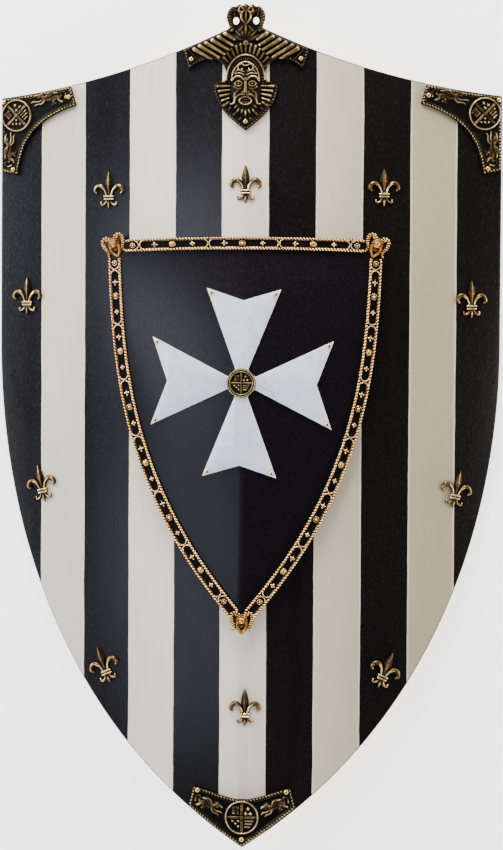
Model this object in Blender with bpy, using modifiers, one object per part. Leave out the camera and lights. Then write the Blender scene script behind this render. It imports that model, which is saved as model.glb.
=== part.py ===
"""Decorative heater shield: bent striped board, raised panel and cast brass fittings.

Each piece is drawn flat in board coordinates and then laid on the bent face:
u runs along the curve from the middle line, v up the shield from its middle
height, and h outward from the front face of the board. The finished shield
lies on its back on the two long sides of the board.
"""

from math import atan2, cos, hypot, pi, radians, sin, sqrt

import bmesh
import bpy
from mathutils import Matrix, Vector

MM = 0.001

# Board
TOTAL_HEIGHT = 720 * MM
HALF_ARC = 218.7 * MM
FACE_RADIUS = 850 * MM
BOARD_THICKNESS = 10 * MM
PEAK_BELOW_TOP = 14 * MM
CORNER_BELOW_PEAK = 62.7 * MM
TOP_EDGE_SAG = 10.9 * MM
STRAIGHT_SIDE = 213 * MM
SIDE_FULLNESS = 147 * MM
TIP_FULLNESS = 196 * MM
TIP_HALF_ANGLE = radians(57)
REST_FLAT_DEPTH = 1.5 * MM
BEND_STEP = 40 * MM

# Fits
SEAT_GAP = 0.3 * MM
SINK = 0.4 * MM
EDGE_MARGIN = 1.4 * MM

# Raised panel and its border
PANEL_THICKNESS = 9 * MM
PANEL_INSET = 0.5 * MM
BORDER_TO_EDGE = 108.1 * MM
BORDER_BELOW_PEAK = 189.4 * MM
BORDER_ARCH = 2.6 * MM
BORDER_ABOVE_TIP = 194.8 * MM
BORDER_SIDE_LEAN = 2.8 * MM
BORDER_SIDE_PULL = 101 * MM
BORDER_TIP_PULL = 152 * MM
BORDER_TIP_HALF_ANGLE = radians(41.4)
STRIP_WIDTH = 10.6 * MM
STRIP_FLOOR = 1.5 * MM
STRIP_RELIEF = 1.7 * MM
RIM_WIDTH = 2 * MM
RIM_MARGIN = 0.2 * MM
KNOT_SIZE = 20 * MM
KNOT_THICKNESS = 3.4 * MM
FIRST_BAR = 20 * MM
LAST_BAR = 29.1 * MM
PITCH_GROWTH = 1.2 * MM
SIDE_CELLS = 6
TOP_END_BAR = 11.4 * MM
TOP_CELLS = 3
BOSS_RADIUS = 2.7 * MM
BAR_WIDTH = 2.6 * MM

# Cross and medallion
CROSS_U = -1.3 * MM
CROSS_BELOW_BORDER = 118.2 * MM
CROSS_THICKNESS = 2.4 * MM
CROSS_TURN = radians(-1.2)
UPRIGHT_LENGTH = 80 * MM
UPRIGHT_HALF_END = 31.4 * MM
UPRIGHT_NOTCH = 10 * MM
ARM_TO_BORDER = 10.5 * MM
ARM_HALF_END = 37.7 * MM
ARM_NOTCH = 13.5 * MM
WAIST_HALF = 5.4 * MM
WAIST_REACH = 11.5 * MM
TIP_TO_NAIL = 6 * MM
MEDALLION_RADIUS = 12.4 * MM
MEDALLION_THICKNESS = 2.6 * MM

# Cast plates
PLATE_THICKNESS = 1.8 * MM
PLATE_RELIEF = 1.8 * MM
ROPE_WIDTH = 2.2 * MM
ROPE_MARGIN = 0.2 * MM
ROUNDEL_MARGIN = 0.3 * MM
MASK_HALF_WIDTH = 53.4 * MM
MASK_HEIGHT = 108 * MM
CORNER_ARM = 64.5 * MM
CORNER_LEG = 62 * MM
CORNER_BAND = 16 * MM
CORNER_ROUNDEL = 14 * MM
TIP_PLATE_HEIGHT = 51 * MM
TIP_PLATE_HALF_WIDTH = 47.5 * MM
TIP_PLATE_DIP = 10.5 * MM
TIP_ROUNDEL = 14.6 * MM

# Lilies
LILY_HEIGHT = 32 * MM
LILY_WIDTH = 28.5 * MM
LILY_THICKNESS = 2.8 * MM
LILY_UPPER_REACH = 118.5 * MM
LILY_EDGE_DISTANCE = 25.5 * MM
LILY_SIDE_BELOW_CORNER = 173 * MM
LILY_LOWER_ABOVE_TIP = 308.8 * MM
LILY_FOOT_ABOVE_TIP = 154 * MM
LILY_TIP_ABOVE_TIP = 121 * MM

# Nails
NAIL_HEAD = 1.8 * MM
NAIL_DOME = 1.0 * MM
NAIL_SHANK = 0.7 * MM
NAIL_DEPTH = 5 * MM
NAIL_CLEARANCE = 0.3 * MM
NAIL_SIDES = 5
NAIL_ROOM = 0.6 * MM

# Heights and places that follow from the sizes above
TOP = TOTAL_HEIGHT / 2
PEAK = TOP - PEAK_BELOW_TOP
CORNER = PEAK - CORNER_BELOW_PEAK
EDGE_TURN = HALF_ARC / FACE_RADIUS
APEX_HEIGHT = FACE_RADIUS - (FACE_RADIUS - BOARD_THICKNESS) * cos(EDGE_TURN) - REST_FLAT_DEPTH
PANEL_FACE = SEAT_GAP + PANEL_THICKNESS
STRIP_SEAT = PANEL_FACE + SEAT_GAP
CROSS_FACE = STRIP_SEAT + CROSS_THICKNESS
PLATE_FACE = SEAT_GAP + PLATE_THICKNESS
BORDER_HALF_WIDTH = HALF_ARC - BORDER_TO_EDGE
BORDER_TOP = PEAK - BORDER_BELOW_PEAK
BORDER_CORNER = BORDER_TOP - BORDER_ARCH
BORDER_TIP = TOP - BORDER_ABOVE_TIP
CROSS_V = BORDER_TOP - CROSS_BELOW_BORDER
NAIL_PLACE = NAIL_HEAD + NAIL_ROOM

WOOD_BLACK = ("black_lacquered_wood", (0.012, 0.010, 0.009), 0.32, 0.0)
BRASS = ("antique_brass", (0.42, 0.28, 0.10), 0.34, 1.0)
GILT = ("gilt_brass", (0.78, 0.46, 0.16), 0.28, 1.0)
WHITE_PAINT = ("white_gloss_paint", (0.78, 0.80, 0.86), 0.25, 0.0)


def new_collection(name):
    collection = bpy.data.collections.new(name)
    bpy.context.scene.collection.children.link(collection)
    return collection


def material(finish):
    """Material of a finish: name, colour, roughness and metallic value."""
    name, colour, roughness, metallic = finish
    found = bpy.data.materials.get(name)
    if found:
        return found
    made = bpy.data.materials.new(name)
    made.use_nodes = True
    shader = made.node_tree.nodes["Principled BSDF"]
    shader.inputs["Base Color"].default_value = (*colour, 1.0)
    shader.inputs["Roughness"].default_value = roughness
    shader.inputs["Metallic"].default_value = metallic
    return made


# Lines and outlines

def mirrored(points):
    return [(-u, v) for u, v in points]


def both_halves(right_half):
    """Closed outline from its right half, which starts and ends on the middle line."""
    inner = [point for point in right_half if point[0] > 1e-6]
    return right_half + mirrored(reversed(inner))


def bezier(start, start_pull, end_pull, end, share):
    rest = 1 - share
    weights = (rest ** 3, 3 * rest ** 2 * share, 3 * rest * share ** 2, share ** 3)
    corners = (start, start_pull, end_pull, end)
    return tuple(sum(w * corner[axis] for w, corner in zip(weights, corners)) for axis in (0, 1))


def directions(points, closed=False):
    """Unit direction along a line at each of its points."""
    count = len(points)
    result = []
    for index in range(count):
        before = points[index - 1] if closed or index else points[0]
        after = points[(index + 1) % count] if closed or index < count - 1 else points[-1]
        du, dv = after[0] - before[0], after[1] - before[1]
        length = hypot(du, dv)
        result.append((du / length, dv / length))
    return result


def offset_line(points, distance):
    """Open line moved to its left by a distance."""
    return [(u - dv * distance, v + du * distance)
            for (u, v), (du, dv) in zip(points, directions(points))]


def inset_outline(points, distance):
    """Closed outline moved inward by a distance, corners kept sharp."""
    count = len(points)
    area = sum(points[i - 1][0] * points[i][1] - points[i][0] * points[i - 1][1]
               for i in range(count))
    side = distance if area > 0 else -distance
    result = []
    for index in range(count):
        (au, av), (bu, bv), (cu, cv) = points[index - 1], points[index], points[(index + 1) % count]
        first, second = hypot(bu - au, bv - av), hypot(cu - bu, cv - bv)
        n1 = (-(bv - av) / first, (bu - au) / first)
        n2 = (-(cv - bv) / second, (cu - bu) / second)
        spread = max(1 + n1[0] * n2[0] + n1[1] * n2[1], 0.4)
        result.append((bu + side * (n1[0] + n2[0]) / spread, bv + side * (n1[1] + n2[1]) / spread))
    return result


def arc(centre, radius, start, end, count, squash=1.0):
    """Points on an arc, angles in degrees, with its height scaled by squash."""
    turns = [radians(start + (end - start) * index / (count - 1)) for index in range(count)]
    return [(centre[0] + radius * cos(turn), centre[1] + radius * squash * sin(turn))
            for turn in turns]


def board_top(u):
    """Height of the hollow top edge of the board at u."""
    chord = hypot(HALF_ARC, CORNER_BELOW_PEAK)
    radius = (chord ** 2 / 4 + TOP_EDGE_SAG ** 2) / (2 * TOP_EDGE_SAG)
    centre_u = HALF_ARC / 2 + CORNER_BELOW_PEAK / chord * (radius - TOP_EDGE_SAG)
    centre_v = PEAK - CORNER_BELOW_PEAK / 2 + HALF_ARC / chord * (radius - TOP_EDGE_SAG)
    return centre_v - sqrt(radius ** 2 - (abs(u) - centre_u) ** 2)


def board_side(share):
    """Point on the curved lower edge, from the end of the straight side to the tip."""
    start = (HALF_ARC, CORNER - STRAIGHT_SIDE)
    tip = (0.0, -TOP)
    return bezier(start, (start[0], start[1] - SIDE_FULLNESS),
                  (tip[0] + TIP_FULLNESS * sin(TIP_HALF_ANGLE),
                   tip[1] + TIP_FULLNESS * cos(TIP_HALF_ANGLE)), tip, share)


def board_outline():
    top = [(u, board_top(u)) for u in spaced(0.0, HALF_ARC, 7)]
    side = [board_side(share) for share in spaced(0.0, 1.0, 12)]
    return both_halves(top + side)


def reach_at(line, v):
    """Distance from the middle line, at height v, of a line that runs downward."""
    for upper, lower in zip(line, line[1:]):
        if lower[1] <= v:
            share = (v - upper[1]) / (lower[1] - upper[1])
            return upper[0] + (lower[0] - upper[0]) * share
    return line[-1][0]


def board_half_width(v):
    """Half the width of the board, along the bend, at a height below its corners."""
    side = [board_side(share) for share in spaced(0.0, 1.0, 61)]
    return reach_at([(HALF_ARC, CORNER)] + side, v)


def border_side_line():
    """Middle line of the right border strip, from the top corner to the tip."""
    start = (BORDER_HALF_WIDTH, BORDER_CORNER)
    tip = (0.0, -BORDER_TIP)
    pull = (start[0] - BORDER_SIDE_LEAN, start[1] - BORDER_SIDE_PULL)
    press = (tip[0] + BORDER_TIP_PULL * sin(BORDER_TIP_HALF_ANGLE),
             tip[1] + BORDER_TIP_PULL * cos(BORDER_TIP_HALF_ANGLE))
    return [bezier(start, pull, press, tip, share) for share in spaced(0.0, 1.0, 121)]


def border_top_line(half_length, count):
    """Middle line of the top border strip, from left to right."""
    return [(u, BORDER_TOP - BORDER_ARCH * (u / BORDER_HALF_WIDTH) ** 2)
            for u in spaced(-half_length, half_length, count)]


def line_length(points):
    return sum(hypot(b[0] - a[0], b[1] - a[1]) for a, b in zip(points, points[1:]))


def station(points, distance):
    """Point and direction at a distance along a line."""
    walked = 0.0
    for a, b in zip(points, points[1:]):
        step = hypot(b[0] - a[0], b[1] - a[1])
        if walked + step >= distance or b is points[-1]:
            share = (distance - walked) / step
            place = (a[0] + (b[0] - a[0]) * share, a[1] + (b[1] - a[1]) * share)
            return place, ((b[0] - a[0]) / step, (b[1] - a[1]) / step)
        walked += step
    raise ValueError("empty line")


def panel_outline():
    """Outline of the raised panel, just inside the outer edge of its border."""
    reach = STRIP_WIDTH / 2 - PANEL_INSET
    side = [station(border_side_line(), distance)[0]
            for distance in spaced(0.0, line_length(border_side_line()), 12)]
    outer = offset_line(side, reach)
    top = [(u, v + reach) for u, v in border_top_line(outer[0][0], 7) if u > -1e-9]
    lower = [point for point in outer[1:] if point[0] > reach]
    tip = (0.0, -BORDER_TIP - reach / sin(BORDER_TIP_HALF_ANGLE))
    return both_halves(top + lower + [tip])


def spaced(start, end, count):
    return [start + (end - start) * index / (count - 1) for index in range(count)]


# Forms, drawn flat

def form_object(name, mesh):
    form = bpy.data.objects.new(name, mesh)
    workbench.objects.link(form)
    form.hide_render = True
    form.display_type = "WIRE"
    return form


def mesh_of(shape, weld=1e-6):
    """Evaluated mesh of an object in world space, welded, with flat areas as single faces."""
    bpy.context.view_layer.update()
    evaluated = shape.evaluated_get(bpy.context.evaluated_depsgraph_get())
    mesh = bpy.data.meshes.new_from_object(evaluated)
    mesh.transform(shape.matrix_world)
    sheet = bmesh.new()
    sheet.from_mesh(mesh)
    bmesh.ops.remove_doubles(sheet, verts=sheet.verts, dist=weld)
    bmesh.ops.dissolve_limit(sheet, angle_limit=radians(0.2), verts=sheet.verts, edges=sheet.edges)
    bmesh.ops.recalc_face_normals(sheet, faces=sheet.faces)
    sheet.to_mesh(mesh)
    sheet.free()
    return mesh


def outline_form(name, points, low, high):
    """Flat outline filled between two heights."""
    curve = bpy.data.curves.new(name, "CURVE")
    curve.dimensions = "2D"
    curve.fill_mode = "BOTH"
    curve.extrude = (high - low) / 2
    spline = curve.splines.new("POLY")
    spline.points.add(len(points) - 1)
    for corner, (u, v) in zip(spline.points, points):
        corner.co = (u, v, 0.0, 1.0)
    spline.use_cyclic_u = True
    drawn = form_object(name + "_outline", curve)
    drawn.location.z = (low + high) / 2
    mesh = mesh_of(drawn)
    bpy.data.objects.remove(drawn)
    return form_object(name, mesh)


def knob_form(name, centre, radius, low, high, top_share=0.6, sides=6, turn=0.0):
    """Low round knob with sloping sides."""
    mesh = bpy.data.meshes.new(name)
    sheet = bmesh.new()
    bmesh.ops.create_cone(sheet, cap_ends=True, segments=sides, radius1=radius,
                          radius2=radius * top_share, depth=high - low)
    bmesh.ops.rotate(sheet, verts=sheet.verts, matrix=Matrix.Rotation(turn, 3, "Z"))
    bmesh.ops.translate(sheet, verts=sheet.verts, vec=(centre[0], centre[1], (low + high) / 2))
    sheet.to_mesh(mesh)
    sheet.free()
    return form_object(name, mesh)


def rib_form(name, path, half_widths, low, rise, closed=False):
    """Rib with a ridge, lofted along a path, its width and height changing together."""
    widest = max(half_widths)
    sheet = bmesh.new()
    sections = []
    for (u, v), (du, dv), half in zip(path, directions(path, closed), half_widths):
        ridge = low + rise * sqrt(half / widest)
        corners = ((u - dv * half, v + du * half, low), (u + dv * half, v - du * half, low),
                   (u, v, ridge))
        sections.append([sheet.verts.new(corner) for corner in corners])
    following = sections[1:] + sections[:1] if closed else sections[1:]
    for near, far in zip(sections, following):
        for side in range(3):
            sheet.faces.new((near[side], near[side - 1], far[side - 1], far[side]))
    if not closed:
        sheet.faces.new(sections[0])
        sheet.faces.new(reversed(sections[-1]))
    bmesh.ops.recalc_face_normals(sheet, faces=sheet.faces)
    mesh = bpy.data.meshes.new(name)
    sheet.to_mesh(mesh)
    sheet.free()
    return form_object(name, mesh)


def turned_form(name, profile, sides, centre=(0.0, 0.0), lift=0.0):
    """Round form turned from a profile of radius and height, outer side from top to bottom."""
    mesh = bpy.data.meshes.new(name)
    mesh.from_pydata([(radius, 0.0, height) for radius, height in profile],
                     [(index, index + 1) for index in range(len(profile) - 1)], [])
    turned = form_object(name + "_profile", mesh)
    turned.location = (centre[0], centre[1], lift)
    screw = turned.modifiers.new("turn", "SCREW")
    screw.steps = sides
    screw.render_steps = sides
    screw.use_merge_vertices = True
    screw.merge_threshold = 1e-6
    result = mesh_of(turned)
    bpy.data.objects.remove(turned)
    return form_object(name, result)


def combined(base, additions=(), cutters=()):
    """Base form with others joined to it and then cut from it."""
    for operation, tools in (("UNION", additions), ("DIFFERENCE", cutters)):
        if not tools:
            continue
        group = bpy.data.collections.new(base.name + "_" + operation.lower())
        workbench.children.link(group)
        for tool in tools:
            workbench.objects.unlink(tool)
            group.objects.link(tool)
        change = base.modifiers.new(operation.lower(), "BOOLEAN")
        change.operation = operation
        change.solver = "EXACT"
        change.operand_type = "COLLECTION"
        change.collection = group
        mesh = mesh_of(base)
        base.modifiers.clear()
        base.data = mesh
        for tool in list(group.objects):
            bpy.data.objects.remove(tool)
        bpy.data.collections.remove(group)
    return base


# Laying a flat form on the bent board

def bent_place(u, v, h):
    turn = u / FACE_RADIUS
    reach = FACE_RADIUS + h
    return Vector((reach * sin(turn), v, reach * cos(turn) - FACE_RADIUS + APEX_HEIGHT))


def piece(name, mesh, finish, smooth=radians(35)):
    """Finished piece in the shield's collection."""
    mesh.name = name
    mesh.materials.clear()
    mesh.materials.append(material(finish))
    mesh.shade_smooth()
    mesh.set_sharp_from_angle(angle=smooth)
    made = bpy.data.objects.new(name, mesh)
    shield.objects.link(made)
    return made


def laid_on_board(form, name, finish, cut_at_floor=False):
    """Flat form bent onto the board, in facets no wider than the bending step."""
    mesh = mesh_of(form)
    bpy.data.objects.remove(form)
    sheet = bmesh.new()
    sheet.from_mesh(mesh)
    reach = max(abs(vert.co.x) for vert in sheet.verts)
    steps = int(reach / BEND_STEP) + 1
    for index in range(-steps, steps + 1):
        everything = list(sheet.verts) + list(sheet.edges) + list(sheet.faces)
        bmesh.ops.bisect_plane(sheet, geom=everything, dist=1e-5,
                               plane_co=(index * BEND_STEP, 0, 0), plane_no=(1, 0, 0))
    bmesh.ops.triangulate(sheet, faces=sheet.faces)
    for vert in sheet.verts:
        vert.co = bent_place(*vert.co)
    if cut_at_floor:
        everything = list(sheet.verts) + list(sheet.edges) + list(sheet.faces)
        bmesh.ops.bisect_plane(sheet, geom=everything, dist=1e-6, plane_co=(0, 0, 0),
                               plane_no=(0, 0, -1), clear_outer=True)
        rims = [edge for edge in sheet.edges if edge.is_boundary]
        bmesh.ops.holes_fill(sheet, edges=rims, sides=0)
        bmesh.ops.triangulate(sheet, faces=sheet.faces)
    bmesh.ops.recalc_face_normals(sheet, faces=sheet.faces)
    sheet.to_mesh(mesh)
    sheet.free()
    return piece(name, mesh, finish)


def set_on_board(name, mesh, finish, u, v, h, turn=0.0):
    """Small stiff piece standing square on the bent face, turned about that square line."""
    made = piece(name, mesh, finish)
    made.rotation_mode = "ZYX"
    made.rotation_euler = (0.0, u / FACE_RADIUS, turn)
    made.location = bent_place(u, v, h)
    return made


# Nails

def nail_holes(sites, low, high):
    """Cutters for the holes of nails."""
    return [knob_form(f"hole_{index}", site, NAIL_SHANK + NAIL_CLEARANCE, low, high, 1.0,
                      NAIL_SIDES) for index, site in enumerate(sites)]


def add_nails(label, sites, seat, wood_face):
    """Domed nails through a fitting, whose top is at seat, into the wood under it."""
    length = seat + SEAT_GAP - wood_face + NAIL_DEPTH
    profile = [(0.0, NAIL_DOME), (NAIL_HEAD, 0.0), (NAIL_SHANK, 0.0), (NAIL_SHANK, -length),
               (0.0, -length)]
    form = turned_form(f"nail_{label}", profile, NAIL_SIDES)
    for index, (u, v) in enumerate(sites, start=1):
        set_on_board(f"nail_{label}_{index}", form.data, BRASS, u, v, seat + SEAT_GAP)
    bpy.data.objects.remove(form)


# Border strips

def strip_forms(line, stations, bars, mark):
    """Strip along a line: floor, two rims, cross bars and a row of ornaments.

    bars are the distances of the cross bars, and mark(index) tells whether the
    boss of a cell carries a nail. Returns the floor, the relief and the nail sites.
    """
    middle = [station(line, distance) for distance in stations]
    points = [place for place, _ in middle]
    half = STRIP_WIDTH / 2
    rim = half - RIM_WIDTH / 2 - RIM_MARGIN
    base = outline_form("strip", offset_line(points, half)
                        + list(reversed(offset_line(points, -half))),
                        STRIP_SEAT, STRIP_SEAT + STRIP_FLOOR)
    low = STRIP_SEAT + STRIP_FLOOR - SINK
    rise = STRIP_RELIEF + SINK
    inner = [stations[0] + RIM_MARGIN] + stations[1:-1] + [stations[-1] - RIM_MARGIN]
    rim_line = [station(line, distance)[0] for distance in inner]
    relief = [rib_form("rim", offset_line(rim_line, side * rim), [RIM_WIDTH / 2] * len(inner),
                       low, rise) for side in (1, -1)]

    def at(distance, across=0.0):
        (u, v), (du, dv) = station(line, distance)
        return (u - dv * across, v + du * across)

    reach = half - RIM_WIDTH
    for bar in bars:
        across = [at(bar, -reach), at(bar, reach)]
        relief.append(rib_form("bar", across, [BAR_WIDTH / 2] * 2, low, rise * 0.8))
    sites = []
    for index, (start, end) in enumerate(zip(bars, bars[1:])):
        pitch = end - start
        boss = at(start + 0.48 * pitch)
        top = STRIP_SEAT + STRIP_FLOOR + STRIP_RELIEF
        if mark(index):
            sites.append(boss)
        else:
            relief.append(knob_form("boss", boss, BOSS_RADIUS, low, top, 0.55))
        relief.append(knob_form("flower", at(start + 0.77 * pitch), BOSS_RADIUS, low,
                                top, 0.0, 4))
        leaf = [at(start + share * pitch) for share in (0.13, 0.27)]
        relief.append(rib_form("leaf", leaf, [1.9 * MM, 0.5 * MM], low, rise * 0.9))
    return base, relief, sites


def add_strip(name, line, start, end, count, bars, mark, flip=False):
    """One border strip; returns the sites of its nails."""
    if flip:
        line = mirrored(line)
    base, relief, sites = strip_forms(line, spaced(start, end, count), bars, mark)
    holes = nail_holes(sites, STRIP_SEAT - 1 * MM, STRIP_SEAT + STRIP_FLOOR + 1 * MM)
    laid_on_board(combined(base, relief, holes), name, BRASS)
    return sites


def add_border_strips():
    side = border_side_line()
    end = line_length(side) - KNOT_SIZE / 2 - SEAT_GAP
    start = KNOT_SIZE / 2 + SEAT_GAP
    pitch = (line_length(side) - FIRST_BAR - LAST_BAR) / SIDE_CELLS
    bars = [FIRST_BAR]
    for index in range(SIDE_CELLS):
        bars.append(bars[-1] + pitch + (index - (SIDE_CELLS - 1) / 2) * PITCH_GROWTH)
    sites = add_strip("right_strip", side, start, end, 10, bars, lambda index: index % 2 == 1)
    sites += add_strip("left_strip", side, start, end, 10, bars, lambda index: index % 2 == 1,
                       flip=True)
    half = BORDER_HALF_WIDTH - start
    line = border_top_line(half, 25)
    length = line_length(line)
    bars = spaced(TOP_END_BAR, length - TOP_END_BAR, TOP_CELLS + 1)
    sites += add_strip("top_strip", line, 0.0, length, 7, bars,
                       lambda index: index != TOP_CELLS // 2)
    return sites


def add_knots():
    """Small casting of two curled loops and a crowned head over each corner of the border."""
    half = KNOT_SIZE / 2
    face = KNOT_THICKNESS * 0.5
    low = face - SINK
    base = knob_form("knot", (0, 0), half, 0.0, face, 0.94, 10)
    relief = [knob_form("head", (0, -0.1 * half), 0.34 * half, low, KNOT_THICKNESS, 0.6, 6)]
    for side in (1, -1):
        loop = [(side * u * half, v * half) for u, v in ((0.1, 0.2), (0.35, 0.66), (0.78, 0.35),
                                                         (0.5, -0.1))]
        relief.append(rib_form("loop", loop, [0.15 * half] * 4, low, KNOT_THICKNESS * 0.45))
        curl = [(0.1 * half * side, -0.4 * half), (0.5 * half * side, -0.62 * half)]
        relief.append(rib_form("curl", curl, [0.2 * half, 0.1 * half], low,
                               KNOT_THICKNESS * 0.4))
    form = combined(base, relief)
    for name, u, v, turn in (("left_knot", -BORDER_HALF_WIDTH, BORDER_CORNER, radians(20)),
                             ("right_knot", BORDER_HALF_WIDTH, BORDER_CORNER, radians(-20)),
                             ("bottom_knot", 0.0, -BORDER_TIP, 0.0)):
        set_on_board(name, form.data, GILT, u, v, STRIP_SEAT, turn)
    bpy.data.objects.remove(form)


# Cross and medallion

def cross_place(along, across, quarter):
    """Point on the cross from its own middle; quarter 0 is the right arm."""
    turn = quarter * pi / 2 + CROSS_TURN
    return (CROSS_U + along * cos(turn) - across * sin(turn),
            CROSS_V + along * sin(turn) + across * cos(turn))


def cross_arm(quarter):
    upright = quarter % 2 == 1
    inside = reach_at(border_side_line(), CROSS_V - ARM_HALF_END) - STRIP_WIDTH / 2
    length = UPRIGHT_LENGTH if upright else inside - ARM_TO_BORDER
    half_end = UPRIGHT_HALF_END if upright else ARM_HALF_END
    notch = UPRIGHT_NOTCH if upright else ARM_NOTCH
    return length, half_end, notch


def tip_nail(length, half_end, notch, side):
    """Place of the nail in a point of an arm, on the line that halves the point."""
    flank = Vector((WAIST_REACH - length, WAIST_HALF - half_end)).normalized()
    end = Vector((-notch, -half_end)).normalized()
    inward = (flank + end).normalized() * TIP_TO_NAIL
    return length + inward.x, side * (half_end + inward.y)


def add_cross():
    outline = []
    sites = []
    for quarter in range(4):
        length, half_end, notch = cross_arm(quarter)
        for along, across in ((WAIST_REACH, -WAIST_HALF), (length, -half_end),
                              (length - notch, 0.0), (length, half_end),
                              (WAIST_REACH, WAIST_HALF)):
            outline.append(cross_place(along, across, quarter))
        for side in (1, -1):
            sites.append(cross_place(*tip_nail(length, half_end, notch, side), quarter))
    base = outline_form("cross", outline, STRIP_SEAT, CROSS_FACE)
    holes = nail_holes(sites, STRIP_SEAT - 1 * MM, CROSS_FACE + 1 * MM)
    laid_on_board(combined(base, (), holes), "cross", WHITE_PAINT)
    add_nails("cross", sites, CROSS_FACE, PANEL_FACE)
    return sites


def roundel_forms(centre, radius, low, floor, rim, turn, sides):
    """Roundel of a cast plate: raised rim, quartering bars and a charge in each quarter."""
    band = 0.14 * radius
    profile = [(0.0, floor), (radius - 1.5 * band, floor), (radius - 0.7 * band, rim),
               (radius, low), (0.0, low)]
    forms = [turned_form("roundel", profile, sides, centre)]
    reach = radius - 1.5 * band

    def at(along, across):
        return (centre[0] + along * cos(turn) - across * sin(turn),
                centre[1] + along * sin(turn) + across * cos(turn))

    height = rim - floor
    for start, end in (((-reach, 0), (reach, 0)), ((0, -reach), (0, reach))):
        forms.append(rib_form("bar", [at(*start), at(*end)], [0.07 * radius] * 2,
                              floor - SINK, SINK + height * 0.8))
    low_charge = floor - SINK
    step = 0.36 * radius
    forms.append(knob_form("tower", at(-step, step), 0.2 * radius, low_charge, floor + height,
                           0.8, 4, pi / 4 + turn))
    forms.append(knob_form("cluster", at(step, step), 0.22 * radius, low_charge, floor + height,
                           0.4, 4))
    forms.append(rib_form("block", [at(-step, -step - 0.18 * radius),
                                    at(-step, -step + 0.18 * radius)],
                          [0.16 * radius] * 2, low_charge, SINK + height * 0.7))
    forms.append(rib_form("wave", [at(step - 0.2 * radius, -step), at(step + 0.2 * radius, -step)],
                          [0.1 * radius] * 2, low_charge, SINK + height * 0.8))
    return forms


def add_medallion():
    floor = 0.6 * MEDALLION_THICKNESS
    forms = roundel_forms((0, 0), MEDALLION_RADIUS, 0.0, floor, MEDALLION_THICKNESS, 0.0, 16)
    form = combined(forms[0], forms[1:])
    set_on_board("medallion", form.data, BRASS, CROSS_U, CROSS_V, CROSS_FACE + SEAT_GAP)
    bpy.data.objects.remove(form)


# Cast plates

def griffin_forms(start, end, height, low, rise, flip=1):
    """Crouching griffin in low relief, walking from start towards end."""
    length = hypot(end[0] - start[0], end[1] - start[1])
    du, dv = (end[0] - start[0]) / length, (end[1] - start[1]) / length
    along_unit, across_unit = length / 30, height / 14 * flip

    def at(along, across):
        along *= along_unit
        across *= across_unit
        return (start[0] + along * du - across * dv, start[1] + along * dv + across * du)

    strokes = (
        ("spine", ((0.5, -4.2), (3.5, 0), (9, 0), (18, -0.4), (23, 3.8), (29, 2.6)),
         (0.7, 1.0, 2.9, 2.9, 2.6, 0.5)),
        ("wing", ((17.5, 1.5), (10.5, 6), (3, 5.2)), (1.8, 2.3, 0.4)),
        ("foreleg", ((19.5, -1), (28, -4.4)), (2.0, 0.9)),
        ("hindleg", ((8, -1), (14.5, -5.6)), (2.4, 0.9)))
    scale = min(along_unit, abs(across_unit))
    return [rib_form(name, [at(*point) for point in path], [half * scale for half in halves],
                     low, rise) for name, path, halves in strokes]


def nail_rise(half_angle):
    """Height of a nail above a pointed end of a plate, clear of its rope border."""
    return (ROPE_MARGIN + ROPE_WIDTH + NAIL_PLACE) / sin(half_angle)


def rope_form(outline, low, rise):
    line = inset_outline(outline, ROPE_MARGIN + ROPE_WIDTH / 2)
    return rib_form("rope", line, [ROPE_WIDTH / 2] * len(line), low, rise, closed=True)


def finish_plate(name, outline, relief, sites, cutters=()):
    """Cast plate: flat outline, rope border, relief, and a raised pad under each nail."""
    low = PLATE_FACE - SINK
    rise = PLATE_RELIEF + SINK
    seat = PLATE_FACE + PLATE_RELIEF
    base = outline_form(name + "_form", outline, SEAT_GAP, PLATE_FACE)
    forms = [rope_form(outline, low, rise)] + relief
    forms += [knob_form("pad", site, NAIL_PLACE, low, seat, 0.9) for site in sites]
    holes = nail_holes(sites, SEAT_GAP - 1 * MM, seat + 1 * MM)
    laid_on_board(combined(base, forms, holes + list(cutters)), name, BRASS)
    add_nails(name, sites, seat, 0.0)


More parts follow.
